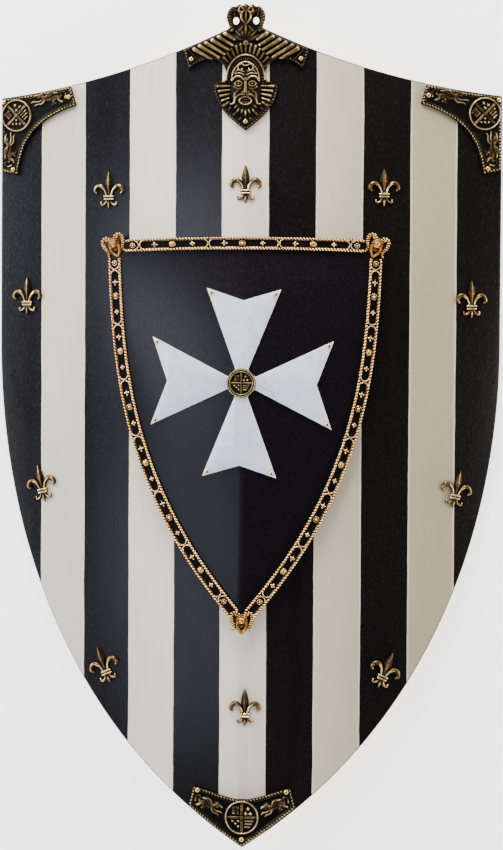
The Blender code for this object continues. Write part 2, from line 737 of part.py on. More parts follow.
def corner_plate(side):
    """Plate over one top corner of the board; returns the sites of its nails."""
    outer = HALF_ARC - EDGE_MARGIN
    arm_u = outer - CORNER_ARM
    leg_v = board_top(outer) - EDGE_MARGIN - CORNER_LEG
    top = [(u, board_top(u) - EDGE_MARGIN) for u in spaced(outer, arm_u, 4)]
    inset = CORNER_ROUNDEL + ROUNDEL_MARGIN
    roundel = (outer - inset, top[0][1] - inset)
    inner_u, inner_v = roundel[0] - CORNER_ROUNDEL, roundel[1] - CORNER_ROUNDEL
    arm_end = (arm_u - 0.3 * CORNER_BAND, top[-1][1] - CORNER_BAND)
    leg_end = (outer - 0.95 * CORNER_BAND, leg_v - 0.2 * CORNER_BAND)
    arm_pull = (arm_end[0] + 0.58 * CORNER_ARM, arm_end[1] - 0.18 * CORNER_ARM)
    leg_pull = (leg_end[0] - 0.07 * CORNER_LEG, leg_end[1] + 0.5 * CORNER_LEG)
    hollow = [bezier(arm_end, arm_pull, leg_pull, leg_end, share) for share in spaced(0, 1, 7)]
    outline = top + hollow + [(outer, leg_v)]
    low, rise = PLATE_FACE - SINK, PLATE_RELIEF + SINK
    arm_middle = top[-1][1] - CORNER_BAND / 2
    relief = roundel_forms(roundel, CORNER_ROUNDEL, low, PLATE_FACE + 0.8 * MM,
                           PLATE_FACE + PLATE_RELIEF, pi / 4, 12)
    relief += griffin_forms((arm_u + 0.2 * CORNER_BAND, arm_middle),
                            (inner_u, arm_middle - 0.25 * CORNER_BAND),
                            CORNER_BAND * 0.72, low, rise)
    leg_middle = outer - 0.48 * CORNER_BAND
    relief += griffin_forms((leg_middle, leg_v + 0.25 * CORNER_BAND), (leg_middle, inner_v),
                            CORNER_BAND * 0.72, low, rise, flip=-1)
    inset = NAIL_PLACE + ROPE_MARGIN
    sites = [(outer - inset, top[0][1] - inset),
             (arm_u + 0.6 * inset, top[-1][1] - 0.56 * CORNER_BAND),
             (leg_end[0] + 1.4 * inset, leg_v + 0.3 * inset)]
    if side < 0:
        outline, sites = mirrored(outline), mirrored(sites)
        for form in relief:
            form.data.transform(Matrix.Scale(-1, 4, (1, 0, 0)))
            form.data.flip_normals()
    finish_plate("left_corner_plate" if side < 0 else "right_corner_plate", outline, relief, sites)
    return sites


def tip_plate():
    """Plate over the bottom tip of the board; returns the sites of its nails."""
    edge = [board_side(share / 100) for share in range(78, 100)]
    lower = [point for point in offset_line(edge, -EDGE_MARGIN)
             if EDGE_MARGIN < point[0] < TIP_PLATE_HALF_WIDTH]
    tip = (0.0, -TOP + EDGE_MARGIN / sin(TIP_HALF_ANGLE))
    lower = lower[::6] + [tip]
    top_v = tip[1] + TIP_PLATE_HEIGHT
    half = TIP_PLATE_HALF_WIDTH
    dip = TIP_PLATE_DIP
    right = [(0.0, top_v - dip), (0.13 * half, top_v - 0.98 * dip),
             (0.38 * half, top_v - 0.67 * dip), (0.57 * half, top_v - 0.34 * dip),
             (0.87 * half, top_v)] + lower
    outline = both_halves(right)
    low, rise = PLATE_FACE - SINK, PLATE_RELIEF + SINK
    centre = (0.0, top_v - dip - 1 * MM - TIP_ROUNDEL)
    relief = roundel_forms(centre, TIP_ROUNDEL, low, PLATE_FACE + 0.8 * MM,
                           PLATE_FACE + PLATE_RELIEF, 0.0, 12)
    for side in (1, -1):
        start = (side * 0.86 * half, top_v - 0.86 * dip)
        end = (side * TIP_ROUNDEL, centre[1] + 0.27 * TIP_ROUNDEL)
        relief += griffin_forms(start, end, CORNER_BAND * 0.66, low, rise, flip=-side)
    corner = (0.8 * half, top_v - 1.25 * NAIL_PLACE)
    sites = [corner, (-corner[0], corner[1]), (0.0, tip[1] + nail_rise(TIP_HALF_ANGLE))]
    finish_plate("tip_plate", outline, relief, sites)
    return sites


def crest_plate():
    """Plate with a grotesque mask on the peak of the board; returns the sites of its nails."""
    chin = TOP - MASK_HEIGHT
    across_unit, up_unit = MASK_HALF_WIDTH / 53.4, MASK_HEIGHT / 108
    unit = min(across_unit, up_unit)

    def at(u, v):
        return (u * across_unit, chin + v * up_unit)

    neck = at(13, 0)[0]
    edge = [(u, board_top(u) - EDGE_MARGIN) for u in spaced(neck, MASK_HALF_WIDTH, 3)]
    right = [at(0, 108), at(10.6, 106), at(16.6, 97)] + edge
    right += [at(*point) for point in ((48.3, 52), (40, 58.5), (29, 60.6), (19.5, 56),
                                       (16.3, 46.5), (18, 41.8), (27.3, 38.6), (25.5, 28.6),
                                       (20.5, 18.6), (11.4, 9.6), (0, 0))]
    outline = both_halves(right)
    low, rise = PLATE_FACE - SINK, PLATE_RELIEF + SINK
    face_top = PLATE_FACE + 1.05 * PLATE_RELIEF
    relief = [outline_form("face", [at(13 * cos(turn), 34 + 17 * sin(turn)) for turn in
                                    spaced(0, 9 / 5 * pi, 10)], low, face_top)]
    up = face_top - SINK

    def add(name, path, halves, base=low, height=rise):
        for flip in (1, -1):
            points = [at(flip * u, v) for u, v in path]
            relief.append(rib_form(name, points, halves, base, height))
            if all(abs(u) < 0.01 for u, v in path):
                break

    def widths(*values):
        return [value * unit for value in values]

    for radius, half, squash in ((16.8, 1.6, 1.3), (12.9, 1.3, 1.32)):
        path = [at(*point) for point in arc((0, 43), radius, 0, 180, 6, squash)]
        relief.append(rib_form("headdress", path, [half * unit] * 6, low,
                               1.25 * rise))
    for end in ((21, 79), (29.5, 75.5), (38, 71.8), (46, 68)):
        start = (end[0] * 0.33 + 11.5, 54 + (end[1] - 54) * 0.42)
        add("ray", [start, end], widths(0.9, 1.7))
    for end in ((24.3, 35.5), (22.8, 27.5), (17.5, 19), (9.8, 11.2)):
        add("beard", [(end[0] * 0.5, 34 + (end[1] - 34) * 0.6), end], widths(2.3, 0.7))
    add("beard", [(0, 20), (0, 10)], widths(2.4, 0.8))
    add("brow", [(1.2, 41.5), (6, 44.6), (11, 41.5)], widths(1.2, 1.3, 0.6), up,
        0.9 * PLATE_RELIEF)
    add("nose", [(0, 43), (0, 36), (0, 31)], widths(1.0, 1.6, 2.6), up,
        1.3 * PLATE_RELIEF)
    add("moustache", [(0.8, 29.2), (5.5, 29.6), (9.6, 25)], widths(1.2, 1.4, 0.5), up,
        0.8 * PLATE_RELIEF)
    add("lip", [(-4.5, 21.8), (0, 20.6), (4.5, 21.8)], widths(0.6, 0.9, 0.6), up,
        0.7 * PLATE_RELIEF)
    for side in (1, -1):
        relief.append(knob_form("eye", at(side * 5.4, 38.2), 2.6 * unit, up,
                                face_top + 0.5 * PLATE_RELIEF, 0.5, 5))
        braid = [at(side * u, v) for u, v in ((13, 85), (14.2, 96.5), (9, 103.8), (2.5, 104.6))]
        relief.append(rib_form("braid", braid, widths(1.8, 1.6, 1.6, 1.2), low,
                               1.3 * rise))
        lobe = [at(side * u, v) for u, v in ((1.5, 79), (5.6, 85.5))]
        relief.append(rib_form("lobe", lobe, widths(1.6, 2.2), low, rise))
    relief.append(rib_form("crown", [at(0, 78), at(0, 88), at(0, 99)], widths(2.2, 3.0, 1.6), low,
                           1.35 * rise))
    relief.append(knob_form("jewel", at(0, 71.5), 3.2 * unit, low,
                            PLATE_FACE + 1.3 * PLATE_RELIEF, 0.45))
    mouth = outline_form("mouth", [at(u, v) for u, v in ((-4, 23.6), (4, 23.6), (3.2, 26.8),
                                                         (-3.2, 26.8))],
                         face_top - 0.6 * PLATE_RELIEF, face_top + 2 * PLATE_RELIEF)
    piercings = [outline_form("piercing", [at(side * 8.4 + 2.6 * cos(turn), 92.6 + 3.1 * sin(turn))
                                           for turn in spaced(0, 5 / 3 * pi, 6)],
                              -PLATE_THICKNESS, PLATE_FACE + 3 * PLATE_RELIEF) for side in (1, -1)]
    foot = chin + nail_rise(atan2(11.4, 9.6))
    sites = [at(46.5, 60.6), at(-46.5, 60.6), (0.0, foot)]
    finish_plate("crest_plate", outline, relief, sites, [mouth] + piercings)
    return sites


# Lilies

def lily_form():
    """Heraldic lily: spear petal, two curled petals, banded collar and three-lobed foot."""
    across_unit, up_unit = LILY_WIDTH / 28.5, LILY_HEIGHT / 32
    scale = min(across_unit, up_unit)

    def stroke(name, path, halves, side=1, height=1.0):
        points = [(side * u * across_unit, v * up_unit) for u, v in path]
        return rib_form(name, points, [half * scale for half in halves], 0.0,
                        LILY_THICKNESS * height)

    spear = stroke("spear", ((0, -7), (0, 6), (0, 16)), (2.0, 4.3, 0.3))
    parts = [stroke("foot", ((0, -7), (0, -16)), (2.2, 0.4), 1, 0.9),
             outline_form("collar", [(u * across_unit, v * up_unit) for u, v in
                                     ((-4.6, -8.4), (4.6, -8.4), (4.6, -4.4), (-4.6, -4.4))],
                          0.0, LILY_THICKNESS)]
    for side in (1, -1):
        parts.append(stroke("petal", ((2.2, -6), (5.8, 2.4), (11.2, 3.6), (11.8, -1.8)),
                            (1.5, 2.4, 2.2, 0.9), side))
        parts.append(stroke("toe", ((1.2, -7), (7, -11.4)), (1.7, 0.9), side, 0.8))
    return combined(spear, parts)


def add_lilies():
    form = lily_form()
    upper = (BORDER_TOP + STRIP_WIDTH / 2 + TOP - MASK_HEIGHT) / 2
    side_v = CORNER - LILY_SIDE_BELOW_CORNER
    lower_v = LILY_LOWER_ABOVE_TIP - TOP
    foot_v = LILY_FOOT_ABOVE_TIP - TOP
    side, lower, foot = (board_half_width(v) - LILY_EDGE_DISTANCE
                         for v in (side_v, lower_v, foot_v))
    rows = (("upper_left", -LILY_UPPER_REACH, upper - 4.5 * MM, 0),
            ("upper_middle", 0.2 * MM, upper, 0),
            ("upper_right", LILY_UPPER_REACH - 1 * MM, upper - 2.5 * MM, 0),
            ("side_left", -side, side_v + 2 * MM, 0),
            ("side_right", side, side_v, 0),
            ("lower_left", -lower + 1 * MM, lower_v + 1 * MM, 12.5),
            ("lower_right", lower + 1 * MM, lower_v, -12),
            ("foot_left", -foot, foot_v, 22),
            ("foot_right", foot, foot_v, -23.5),
            ("foot_middle", 2 * MM, LILY_TIP_ABOVE_TIP - TOP, 0))
    for label, u, v, tilt in rows:
        set_on_board(f"lily_{label}", form.data, BRASS, u, v, SEAT_GAP, radians(tilt))
    bpy.data.objects.remove(form)


def add_board(sites):
    base = outline_form("board_form", board_outline(), -BOARD_THICKNESS, 0.0)
    holes = nail_holes(sites, -NAIL_DEPTH - NAIL_CLEARANCE, 1 * MM)
    laid_on_board(combined(base, (), holes), "board", WOOD_BLACK, cut_at_floor=True)


def add_panel(sites):
    base = outline_form("panel_form", panel_outline(), SEAT_GAP, PANEL_FACE)
    holes = nail_holes(sites, PANEL_FACE - NAIL_DEPTH - NAIL_CLEARANCE, PANEL_FACE + 1 * MM)
    laid_on_board(combined(base, (), holes), "inner_panel", WOOD_BLACK)


for old in list(bpy.data.objects):
    bpy.data.objects.remove(old, do_unlink=True)
shield = new_collection("wooden_shield")
workbench = new_collection("forms_and_cutters")

strip_sites = add_border_strips()
add_nails("strip", strip_sites, STRIP_SEAT + STRIP_FLOOR, PANEL_FACE)
add_knots()
cross_sites = add_cross()
add_medallion()
plate_sites = crest_plate() + corner_plate(1) + corner_plate(-1) + tip_plate()
add_lilies()
add_panel(cross_sites + strip_sites)
add_board(plate_sites)
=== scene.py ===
"""Wooden shield dressed for its picture: striped board, panel, cross and cast brass fittings.

Each piece is drawn flat in millimetres, u along the bend, v up the shield and h outward
from the board's face, and is then laid on the bent board.
"""
import logging
from dataclasses import dataclass
from enum import Enum
from math import cos, hypot, pi, radians, sin, sqrt
from typing import Callable, ClassVar, Iterable, Sequence

import bmesh
import bpy
import numpy as np
from mathutils import Matrix, Vector


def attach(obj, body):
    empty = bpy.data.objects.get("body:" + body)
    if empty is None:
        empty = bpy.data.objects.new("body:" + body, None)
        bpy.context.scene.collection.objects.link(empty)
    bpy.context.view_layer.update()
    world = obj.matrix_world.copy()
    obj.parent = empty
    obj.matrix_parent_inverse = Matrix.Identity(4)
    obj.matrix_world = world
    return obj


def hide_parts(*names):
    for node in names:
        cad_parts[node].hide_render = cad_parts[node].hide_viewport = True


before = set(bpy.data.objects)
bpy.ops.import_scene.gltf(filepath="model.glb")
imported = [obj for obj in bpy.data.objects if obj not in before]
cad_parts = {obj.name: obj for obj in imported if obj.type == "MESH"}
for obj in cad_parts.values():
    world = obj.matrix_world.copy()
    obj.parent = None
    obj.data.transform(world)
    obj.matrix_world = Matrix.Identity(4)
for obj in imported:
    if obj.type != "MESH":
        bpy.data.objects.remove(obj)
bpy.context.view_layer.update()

MM = 0.001
SEAT_GAP = 0.3  # clear space under a piece, in millimetres
ON_PANEL = 9.6  # height above the board's face of what lies on the raised panel
BEND_STEP = 7.0  # width of the flat facets that follow the bend
BACK_STEP = 8.0  # the same at the back of a casting
HALF_ARC = 218.7  # half the board's width, measured along its bend
log = logging.getLogger("shield")

Point = tuple[float, float]
Laying = Callable[[np.ndarray], np.ndarray]


class Side(Enum):
    """Which half of the shield a piece lies on, as the sign of u."""

    LEFT = -1
    RIGHT = 1


# Shape of the shield


@dataclass(frozen=True)
class Bend:
    """The bend of the board, about an upright axis behind it."""

    radius: float = 850.0
    half_arc: float = HALF_ARC
    thickness: float = 10.0
    rest_flat: float = 1.5

    @property
    def apex(self) -> float:
        """Height of the board's face on the middle line."""
        turn = self.half_arc / self.radius
        return self.radius - (self.radius - self.thickness) * cos(turn) - self.rest_flat

    def lay(self, flat: np.ndarray) -> np.ndarray:
        """Bend flat points onto the board.

        Args:
            flat: rows of u, v and h in millimetres.

        Returns:
            Rows of x, y and z in metres.
        """
        turn = flat[:, 0] / self.radius
        reach = self.radius + flat[:, 2]
        return np.column_stack((reach * np.sin(turn), flat[:, 1],
                                reach * np.cos(turn) - self.radius + self.apex)) * MM

    def stand(self, u: float, v: float, h: float, turn: float = 0.0) -> Laying:
        """Make a laying for a stiff piece that stands square on the board.

        Args:
            u: place along the bend.
            v: place up the shield.
            h: height of the piece's seat above the board's face.
            turn: the piece's turn about the line square to the board.

        Returns:
            A function from the piece's own flat points to points in metres.
        """
        tilt = u / self.radius
        own = Matrix.Rotation(tilt, 3, "Y") @ Matrix.Rotation(turn, 3, "Z")
        axes = np.array(own)
        seat = self.lay(np.array([[u, v, h]]))[0]
        return lambda flat: flat @ axes.T * MM + seat


@dataclass(frozen=True)
class BoardShape:
    """Outline of the board, drawn flat."""

    top: float = 360.0
    peak: float = 346.0
    corner_drop: float = 62.7
    half_arc: float = HALF_ARC
    top_sag: float = 10.9
    straight_side: float = 213.0
    side_fullness: float = 147.0
    tip_fullness: float = 196.0
    tip_half_angle: float = radians(57)
    edge_margin: float = 1.4

    def top_edge(self, u: float) -> float:
        """Give the height of the hollow top edge at u."""
        chord = hypot(self.half_arc, self.corner_drop)
        radius = (chord ** 2 / 4 + self.top_sag ** 2) / (2 * self.top_sag)
        reach = (radius - self.top_sag) / chord
        centre_u = self.half_arc / 2 + self.corner_drop * reach
        centre_v = self.peak - self.corner_drop / 2 + self.half_arc * reach
        return centre_v - sqrt(radius ** 2 - (abs(u) - centre_u) ** 2)

    def side_edge(self, share: float) -> Point:
        """Give a point of the curved lower edge, from the straight side (0) to the tip (1)."""
        start = (self.half_arc, self.peak - self.corner_drop - self.straight_side)
        pull = (start[0], start[1] - self.side_fullness)
        press = (self.tip_fullness * sin(self.tip_half_angle),
                 -self.top + self.tip_fullness * cos(self.tip_half_angle))
        return bezier(start, pull, press, (0.0, -self.top), share)

    def outline(self) -> list[Point]:
        """Give the closed outline, right half first."""
        top = [(u, self.top_edge(u)) for u in np.linspace(0, self.half_arc, 60)]
        side = [self.side_edge(share) for share in np.linspace(0, 1, 110)]
        return both_halves(top + side)


@dataclass(frozen=True)
class BorderShape:
    """Middle lines of the strips round the raised panel."""

    half_width: float = 110.6
    top: float = 156.6
    arch: float = 2.6
    tip: float = 165.2
    lean: float = 2.8
    side_pull: float = 101.0
    tip_pull: float = 152.0
    tip_half_angle: float = radians(41.4)
    strip_width: float = 10.6
    panel_inset: float = 0.5

    def side_line(self) -> "Path":
        """Give the right strip's middle line, from the corner to the tip."""
        start = (self.half_width, self.top - self.arch)
        pull = (start[0] - self.lean, start[1] - self.side_pull)
        press = (self.tip_pull * sin(self.tip_half_angle),
                 -self.tip + self.tip_pull * cos(self.tip_half_angle))
        return Path([bezier(start, pull, press, (0.0, -self.tip), share)
                     for share in np.linspace(0, 1, 240)])

    def top_line(self, half: float) -> "Path":
        """Give the top strip's middle line, from -half to half."""
        return Path([(u, self.top - self.arch * (u / self.half_width) ** 2)
                     for u in np.linspace(-half, half, 80)])

    def panel_outline(self) -> list[Point]:
        """Give the panel's closed outline, just inside the outer edge of the strips."""
        reach = self.strip_width / 2 - self.panel_inset
        side = self.side_line()
        outer = [tuple(row) for row in side.offset(reach, 90)]
        top = [(u, v + reach) for u, v in self.top_line(outer[0][0]).points if u > -1e-9]
        lower = [point for point in outer[1:] if point[0] > 0.8 * reach]
        return both_halves(top + lower + [(0.0, -self.tip - reach / sin(self.tip_half_angle))])


class Path:
    """Open line with distances along it."""

    def __init__(self, points: Sequence[Point]) -> None:
        """Keep the points and the distance to each of them.

        Args:
            points: corners of the line, in order.
        """
        self.points = np.array(points, dtype=float)
        steps = np.hypot(*np.diff(self.points, axis=0).T)
        self.walked = np.concatenate(([0.0], np.cumsum(steps)))

    @property
    def length(self) -> float:
        """Whole length of the line."""
        return float(self.walked[-1])

    def at(self, distance: np.ndarray) -> tuple[np.ndarray, np.ndarray]:
        """Find points and unit directions on the line.

        Args:
            distance: distances from its start.

        Returns:
            Rows of u and v, and rows of directions.
        """
        distance = np.atleast_1d(np.asarray(distance, dtype=float))
        place = np.column_stack([np.interp(distance, self.walked, self.points[:, axis])
                                 for axis in (0, 1)])
        slope = np.gradient(self.points, self.walked, axis=0)
        way = np.column_stack([np.interp(distance, self.walked, slope[:, axis])
                               for axis in (0, 1)])
        return place, way / np.linalg.norm(way, axis=1)[:, None]

    def offset(self, across: float, count: int) -> np.ndarray:
        """Give count points of the line moved to its left."""
        place, way = self.at(np.linspace(0, self.length, count))
        return place + across * np.column_stack((-way[:, 1], way[:, 0]))

    def mapped(self, flat: np.ndarray, side: Side = Side.RIGHT) -> np.ndarray:
        """Carry points drawn along a straight strip to this line.

        Args:
            flat: rows of distance along, distance across and height.
            side: LEFT mirrors the result to the other half of the shield.

        Returns:
            Rows of u, v and h.
        """
        place, way = self.at(flat[:, 0])
        normal = np.column_stack((-way[:, 1], way[:, 0]))
        spot = place + flat[:, 1:2] * normal
        return np.column_stack((spot[:, 0] * side.value, spot[:, 1], flat[:, 2]))


def bezier(start: Point, pull: Point, press: Point, end: Point, share: float) -> Point:
    """Give a point of a cubic curve at a share of its way."""
    rest = 1 - share
    weights = (rest ** 3, 3 * rest ** 2 * share, 3 * rest * share ** 2, share ** 3)
    corners = (start, pull, press, end)
    return tuple(float(sum(w * corner[axis] for w, corner in zip(weights, corners)))
                 for axis in (0, 1))


def both_halves(right: Sequence[Point]) -> list[Point]:
    """Close an outline whose right half starts and ends on the middle line."""
    inner = [point for point in right if point[0] > 1e-6]
    return list(right) + [(-u, v) for u, v in reversed(inner)]


def smooth_line(corners: Sequence[Point], steps: int = 6) -> list[Point]:
    """Draw a flowing line through corners.

    Args:
        corners: points that the line passes through.
        steps: points drawn between two corners.

    Returns:
        The points of the line.
    """
    spots = [np.array(corner, dtype=float) for corner in corners]
    spots = [2 * spots[0] - spots[1]] + spots + [2 * spots[-1] - spots[-2]]
    result = []
    for a, b, c, d in zip(spots, spots[1:], spots[2:], spots[3:]):
        for share in np.arange(steps) / steps:
            result.append(tuple(0.5 * (2 * b + (c - a) * share
                                       + (2 * a - 5 * b + 4 * c - d) * share ** 2
                                       + (3 * b - a - 3 * c + d) * share ** 3)))
    return result + [tuple(spots[-2])]


def oval(centre: Point, half_u: float, half_v: float, count: int) -> list[Point]:
    """Give count points round an oval."""
    return [(centre[0] + half_u * cos(turn), centre[1] + half_v * sin(turn))
            for turn in np.linspace(0, 2 * pi, count + 1)[:-1]]


def spoke(centre: Point, turn: float, near: Point, far: Point) -> list[Point]:
    """Give the foot and the tip of a ray between two ovals about a centre.

    Args:
        centre: middle of both ovals.
        turn: direction of the ray.
        near: half the width and height of the oval on which it starts.
        far: half the width and height of the oval on which it ends.

    Returns:
        The two ends.
    """
    return [(centre[0] + half_u * cos(turn), centre[1] + half_v * sin(turn))
            for half_u, half_v in (near, far)]


def with_middle(ends: Sequence[Point]) -> list[Point]:
    """Put the middle between two ends."""
    (u1, v1), (u2, v2) = ends
    return [ends[0], ((u1 + u2) / 2, (v1 + v2) / 2), ends[1]]


BEND = Bend()
BOARD = BoardShape()
BORDER = BorderShape()


# Tools of the bench


def pick_only(piece: bpy.types.Object) -> None:
    """Select one object alone and make it the active one."""
    bpy.ops.object.select_all(action="DESELECT")
    piece.select_set(True)
    bpy.context.view_layer.objects.active = piece


def edit(piece: bpy.types.Object, kind: str = "FACE") -> None:
    """Open a piece in edit mode with nothing selected."""
    pick_only(piece)
    bpy.ops.object.mode_set(mode="EDIT")
    bpy.ops.mesh.select_mode(type=kind)
    bpy.ops.mesh.select_all(action="DESELECT")


def leave_edit() -> None:
    """Go back to object mode."""
    bpy.ops.object.mode_set(mode="OBJECT")


def coordinates(piece: bpy.types.Object) -> np.ndarray:
    """Read a mesh's points as rows."""
    spots = np.empty(len(piece.data.vertices) * 3)
    piece.data.vertices.foreach_get("co", spots)
    return spots.reshape(-1, 3)


def set_coordinates(piece: bpy.types.Object, spots: np.ndarray) -> None:
    """Write rows of points to a mesh."""
    piece.data.vertices.foreach_set("co", np.ascontiguousarray(spots, dtype=np.float32).ravel())
    piece.data.update()


def border_edges(piece: bpy.types.Object) -> np.ndarray:
    """Mark the edges that have one face."""
    used = np.empty(len(piece.data.loops), dtype=np.int64)
    piece.data.loops.foreach_get("edge_index", used)
    return np.bincount(used, minlength=len(piece.data.edges)) == 1


def finished(piece: bpy.types.Object, laying: Laying, sharp: float = radians(50)) -> None:
    """Lay a flat piece in its place and shade it.

    Args:
        piece: mesh drawn in millimetres.
        laying: function from its flat points to metres.
        sharp: edges that turn by more than this stay crisp.
    """
    set_coordinates(piece, laying(coordinates(piece)))
    edit(piece)
    bpy.ops.mesh.select_all(action="SELECT")
    bpy.ops.mesh.normals_make_consistent(inside=False)
    leave_edit()
    bpy.ops.object.shade_smooth_by_angle(angle=sharp)


def apply_all(piece: bpy.types.Object) -> None:
    """Apply every modifier of a piece, first to last."""
    pick_only(piece)
    for change in list(piece.modifiers):
        bpy.ops.object.modifier_apply(modifier=change.name)


def slab(name: str, outline: Sequence[Point], low: float, high: float,
         ease: float) -> bpy.types.Object:
    """Make a flat board of an outline, with eased arrises, cut across for bending.

    Args:
        name: name of the piece.
        outline: closed outline in millimetres.
        low: height of its back.
        high: height of its face.
        ease: width of the eased arris.

    Returns:
        The piece, still flat.
    """
    bpy.ops.object.select_all(action="DESELECT")
    bpy.ops.mesh.primitive_circle_add(vertices=len(outline), radius=1, fill_type="NGON")
    piece = bpy.context.object
    piece.name = name
    piece.data.name = name
    set_coordinates(piece, np.array([(u, v, low) for u, v in outline]))
    edit(piece)
    bpy.ops.mesh.select_all(action="SELECT")
    bpy.ops.mesh.extrude_region_move(TRANSFORM_OT_translate={"value": (0, 0, high - low)})
    bpy.ops.mesh.select_all(action="SELECT")
    bpy.ops.mesh.normals_make_consistent(inside=False)
    leave_edit()
    arris = piece.modifiers.new("eased_arris", "BEVEL")
    arris.width = ease
    arris.segments = 2
    arris.limit_method = "ANGLE"
    arris.angle_limit = radians(60)
    apply_all(piece)
    edit(piece)
    count = int(max(u for u, _ in outline) / BEND_STEP)
    for index in range(-count, count + 1):
        bpy.ops.mesh.select_all(action="SELECT")
        bpy.ops.mesh.bisect(plane_co=(index * BEND_STEP, 0, 0), plane_no=(1, 0, 0))
    leave_edit()
    return piece


def turned(name: str, profile: Sequence[Point], sides: int) -> bpy.types.Object:
    """Turn a small round piece from its profile of radius and height.

    Args:
        name: name of the piece.
        profile: outer side from the foot to the crown, ends off the axis.
        sides: sides of the round.

    Returns:
        The closed piece, in millimetres.
    """
    bpy.ops.object.select_all(action="DESELECT")
    radius, height = profile[0]
    bpy.ops.mesh.primitive_circle_add(vertices=sides, radius=radius, fill_type="NGON",
                                      location=(0, 0, height))
    piece = bpy.context.object
    piece.name = name
    bpy.ops.object.transform_apply(location=True, rotation=False, scale=False)
    edit(piece)
    bpy.ops.mesh.select_all(action="SELECT")
    for (near, low), (far, high) in zip(profile, profile[1:]):
        bpy.ops.mesh.extrude_region_move(TRANSFORM_OT_translate={"value": (0, 0, high - low)})
        grow = far / near
        bpy.ops.transform.resize(value=(grow, grow, 1))
    bpy.ops.mesh.select_all(action="SELECT")
    bpy.ops.mesh.normals_make_consistent(inside=False)
    leave_edit()
    return piece


def copied(piece: bpy.types.Object, name: str) -> bpy.types.Object:
    """Copy a piece with its own mesh."""
    twin = piece.copy()
    twin.data = piece.data.copy()
    twin.name = name
    twin.data.name = name
    bpy.context.scene.collection.objects.link(twin)
    return twin


def settle(piece: bpy.types.Object, finishes: Iterable[bpy.types.Material], slot: str,
           *nodes: str) -> None:
    """Give a piece its finishes, its body and the solids that it stands for.

    Args:
        piece: the finished piece.
        finishes: its materials, one for each slot of the mesh.
        slot: the record's material slot; not used.
        nodes: the solids that it replaces.
    """
    for material in finishes:
        piece.data.materials.append(material)
    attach(piece, "root")
    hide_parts(*nodes)
    log.info("%s: %d points for %s", piece.name, len(piece.data.vertices), ", ".join(nodes))


# Cast relief

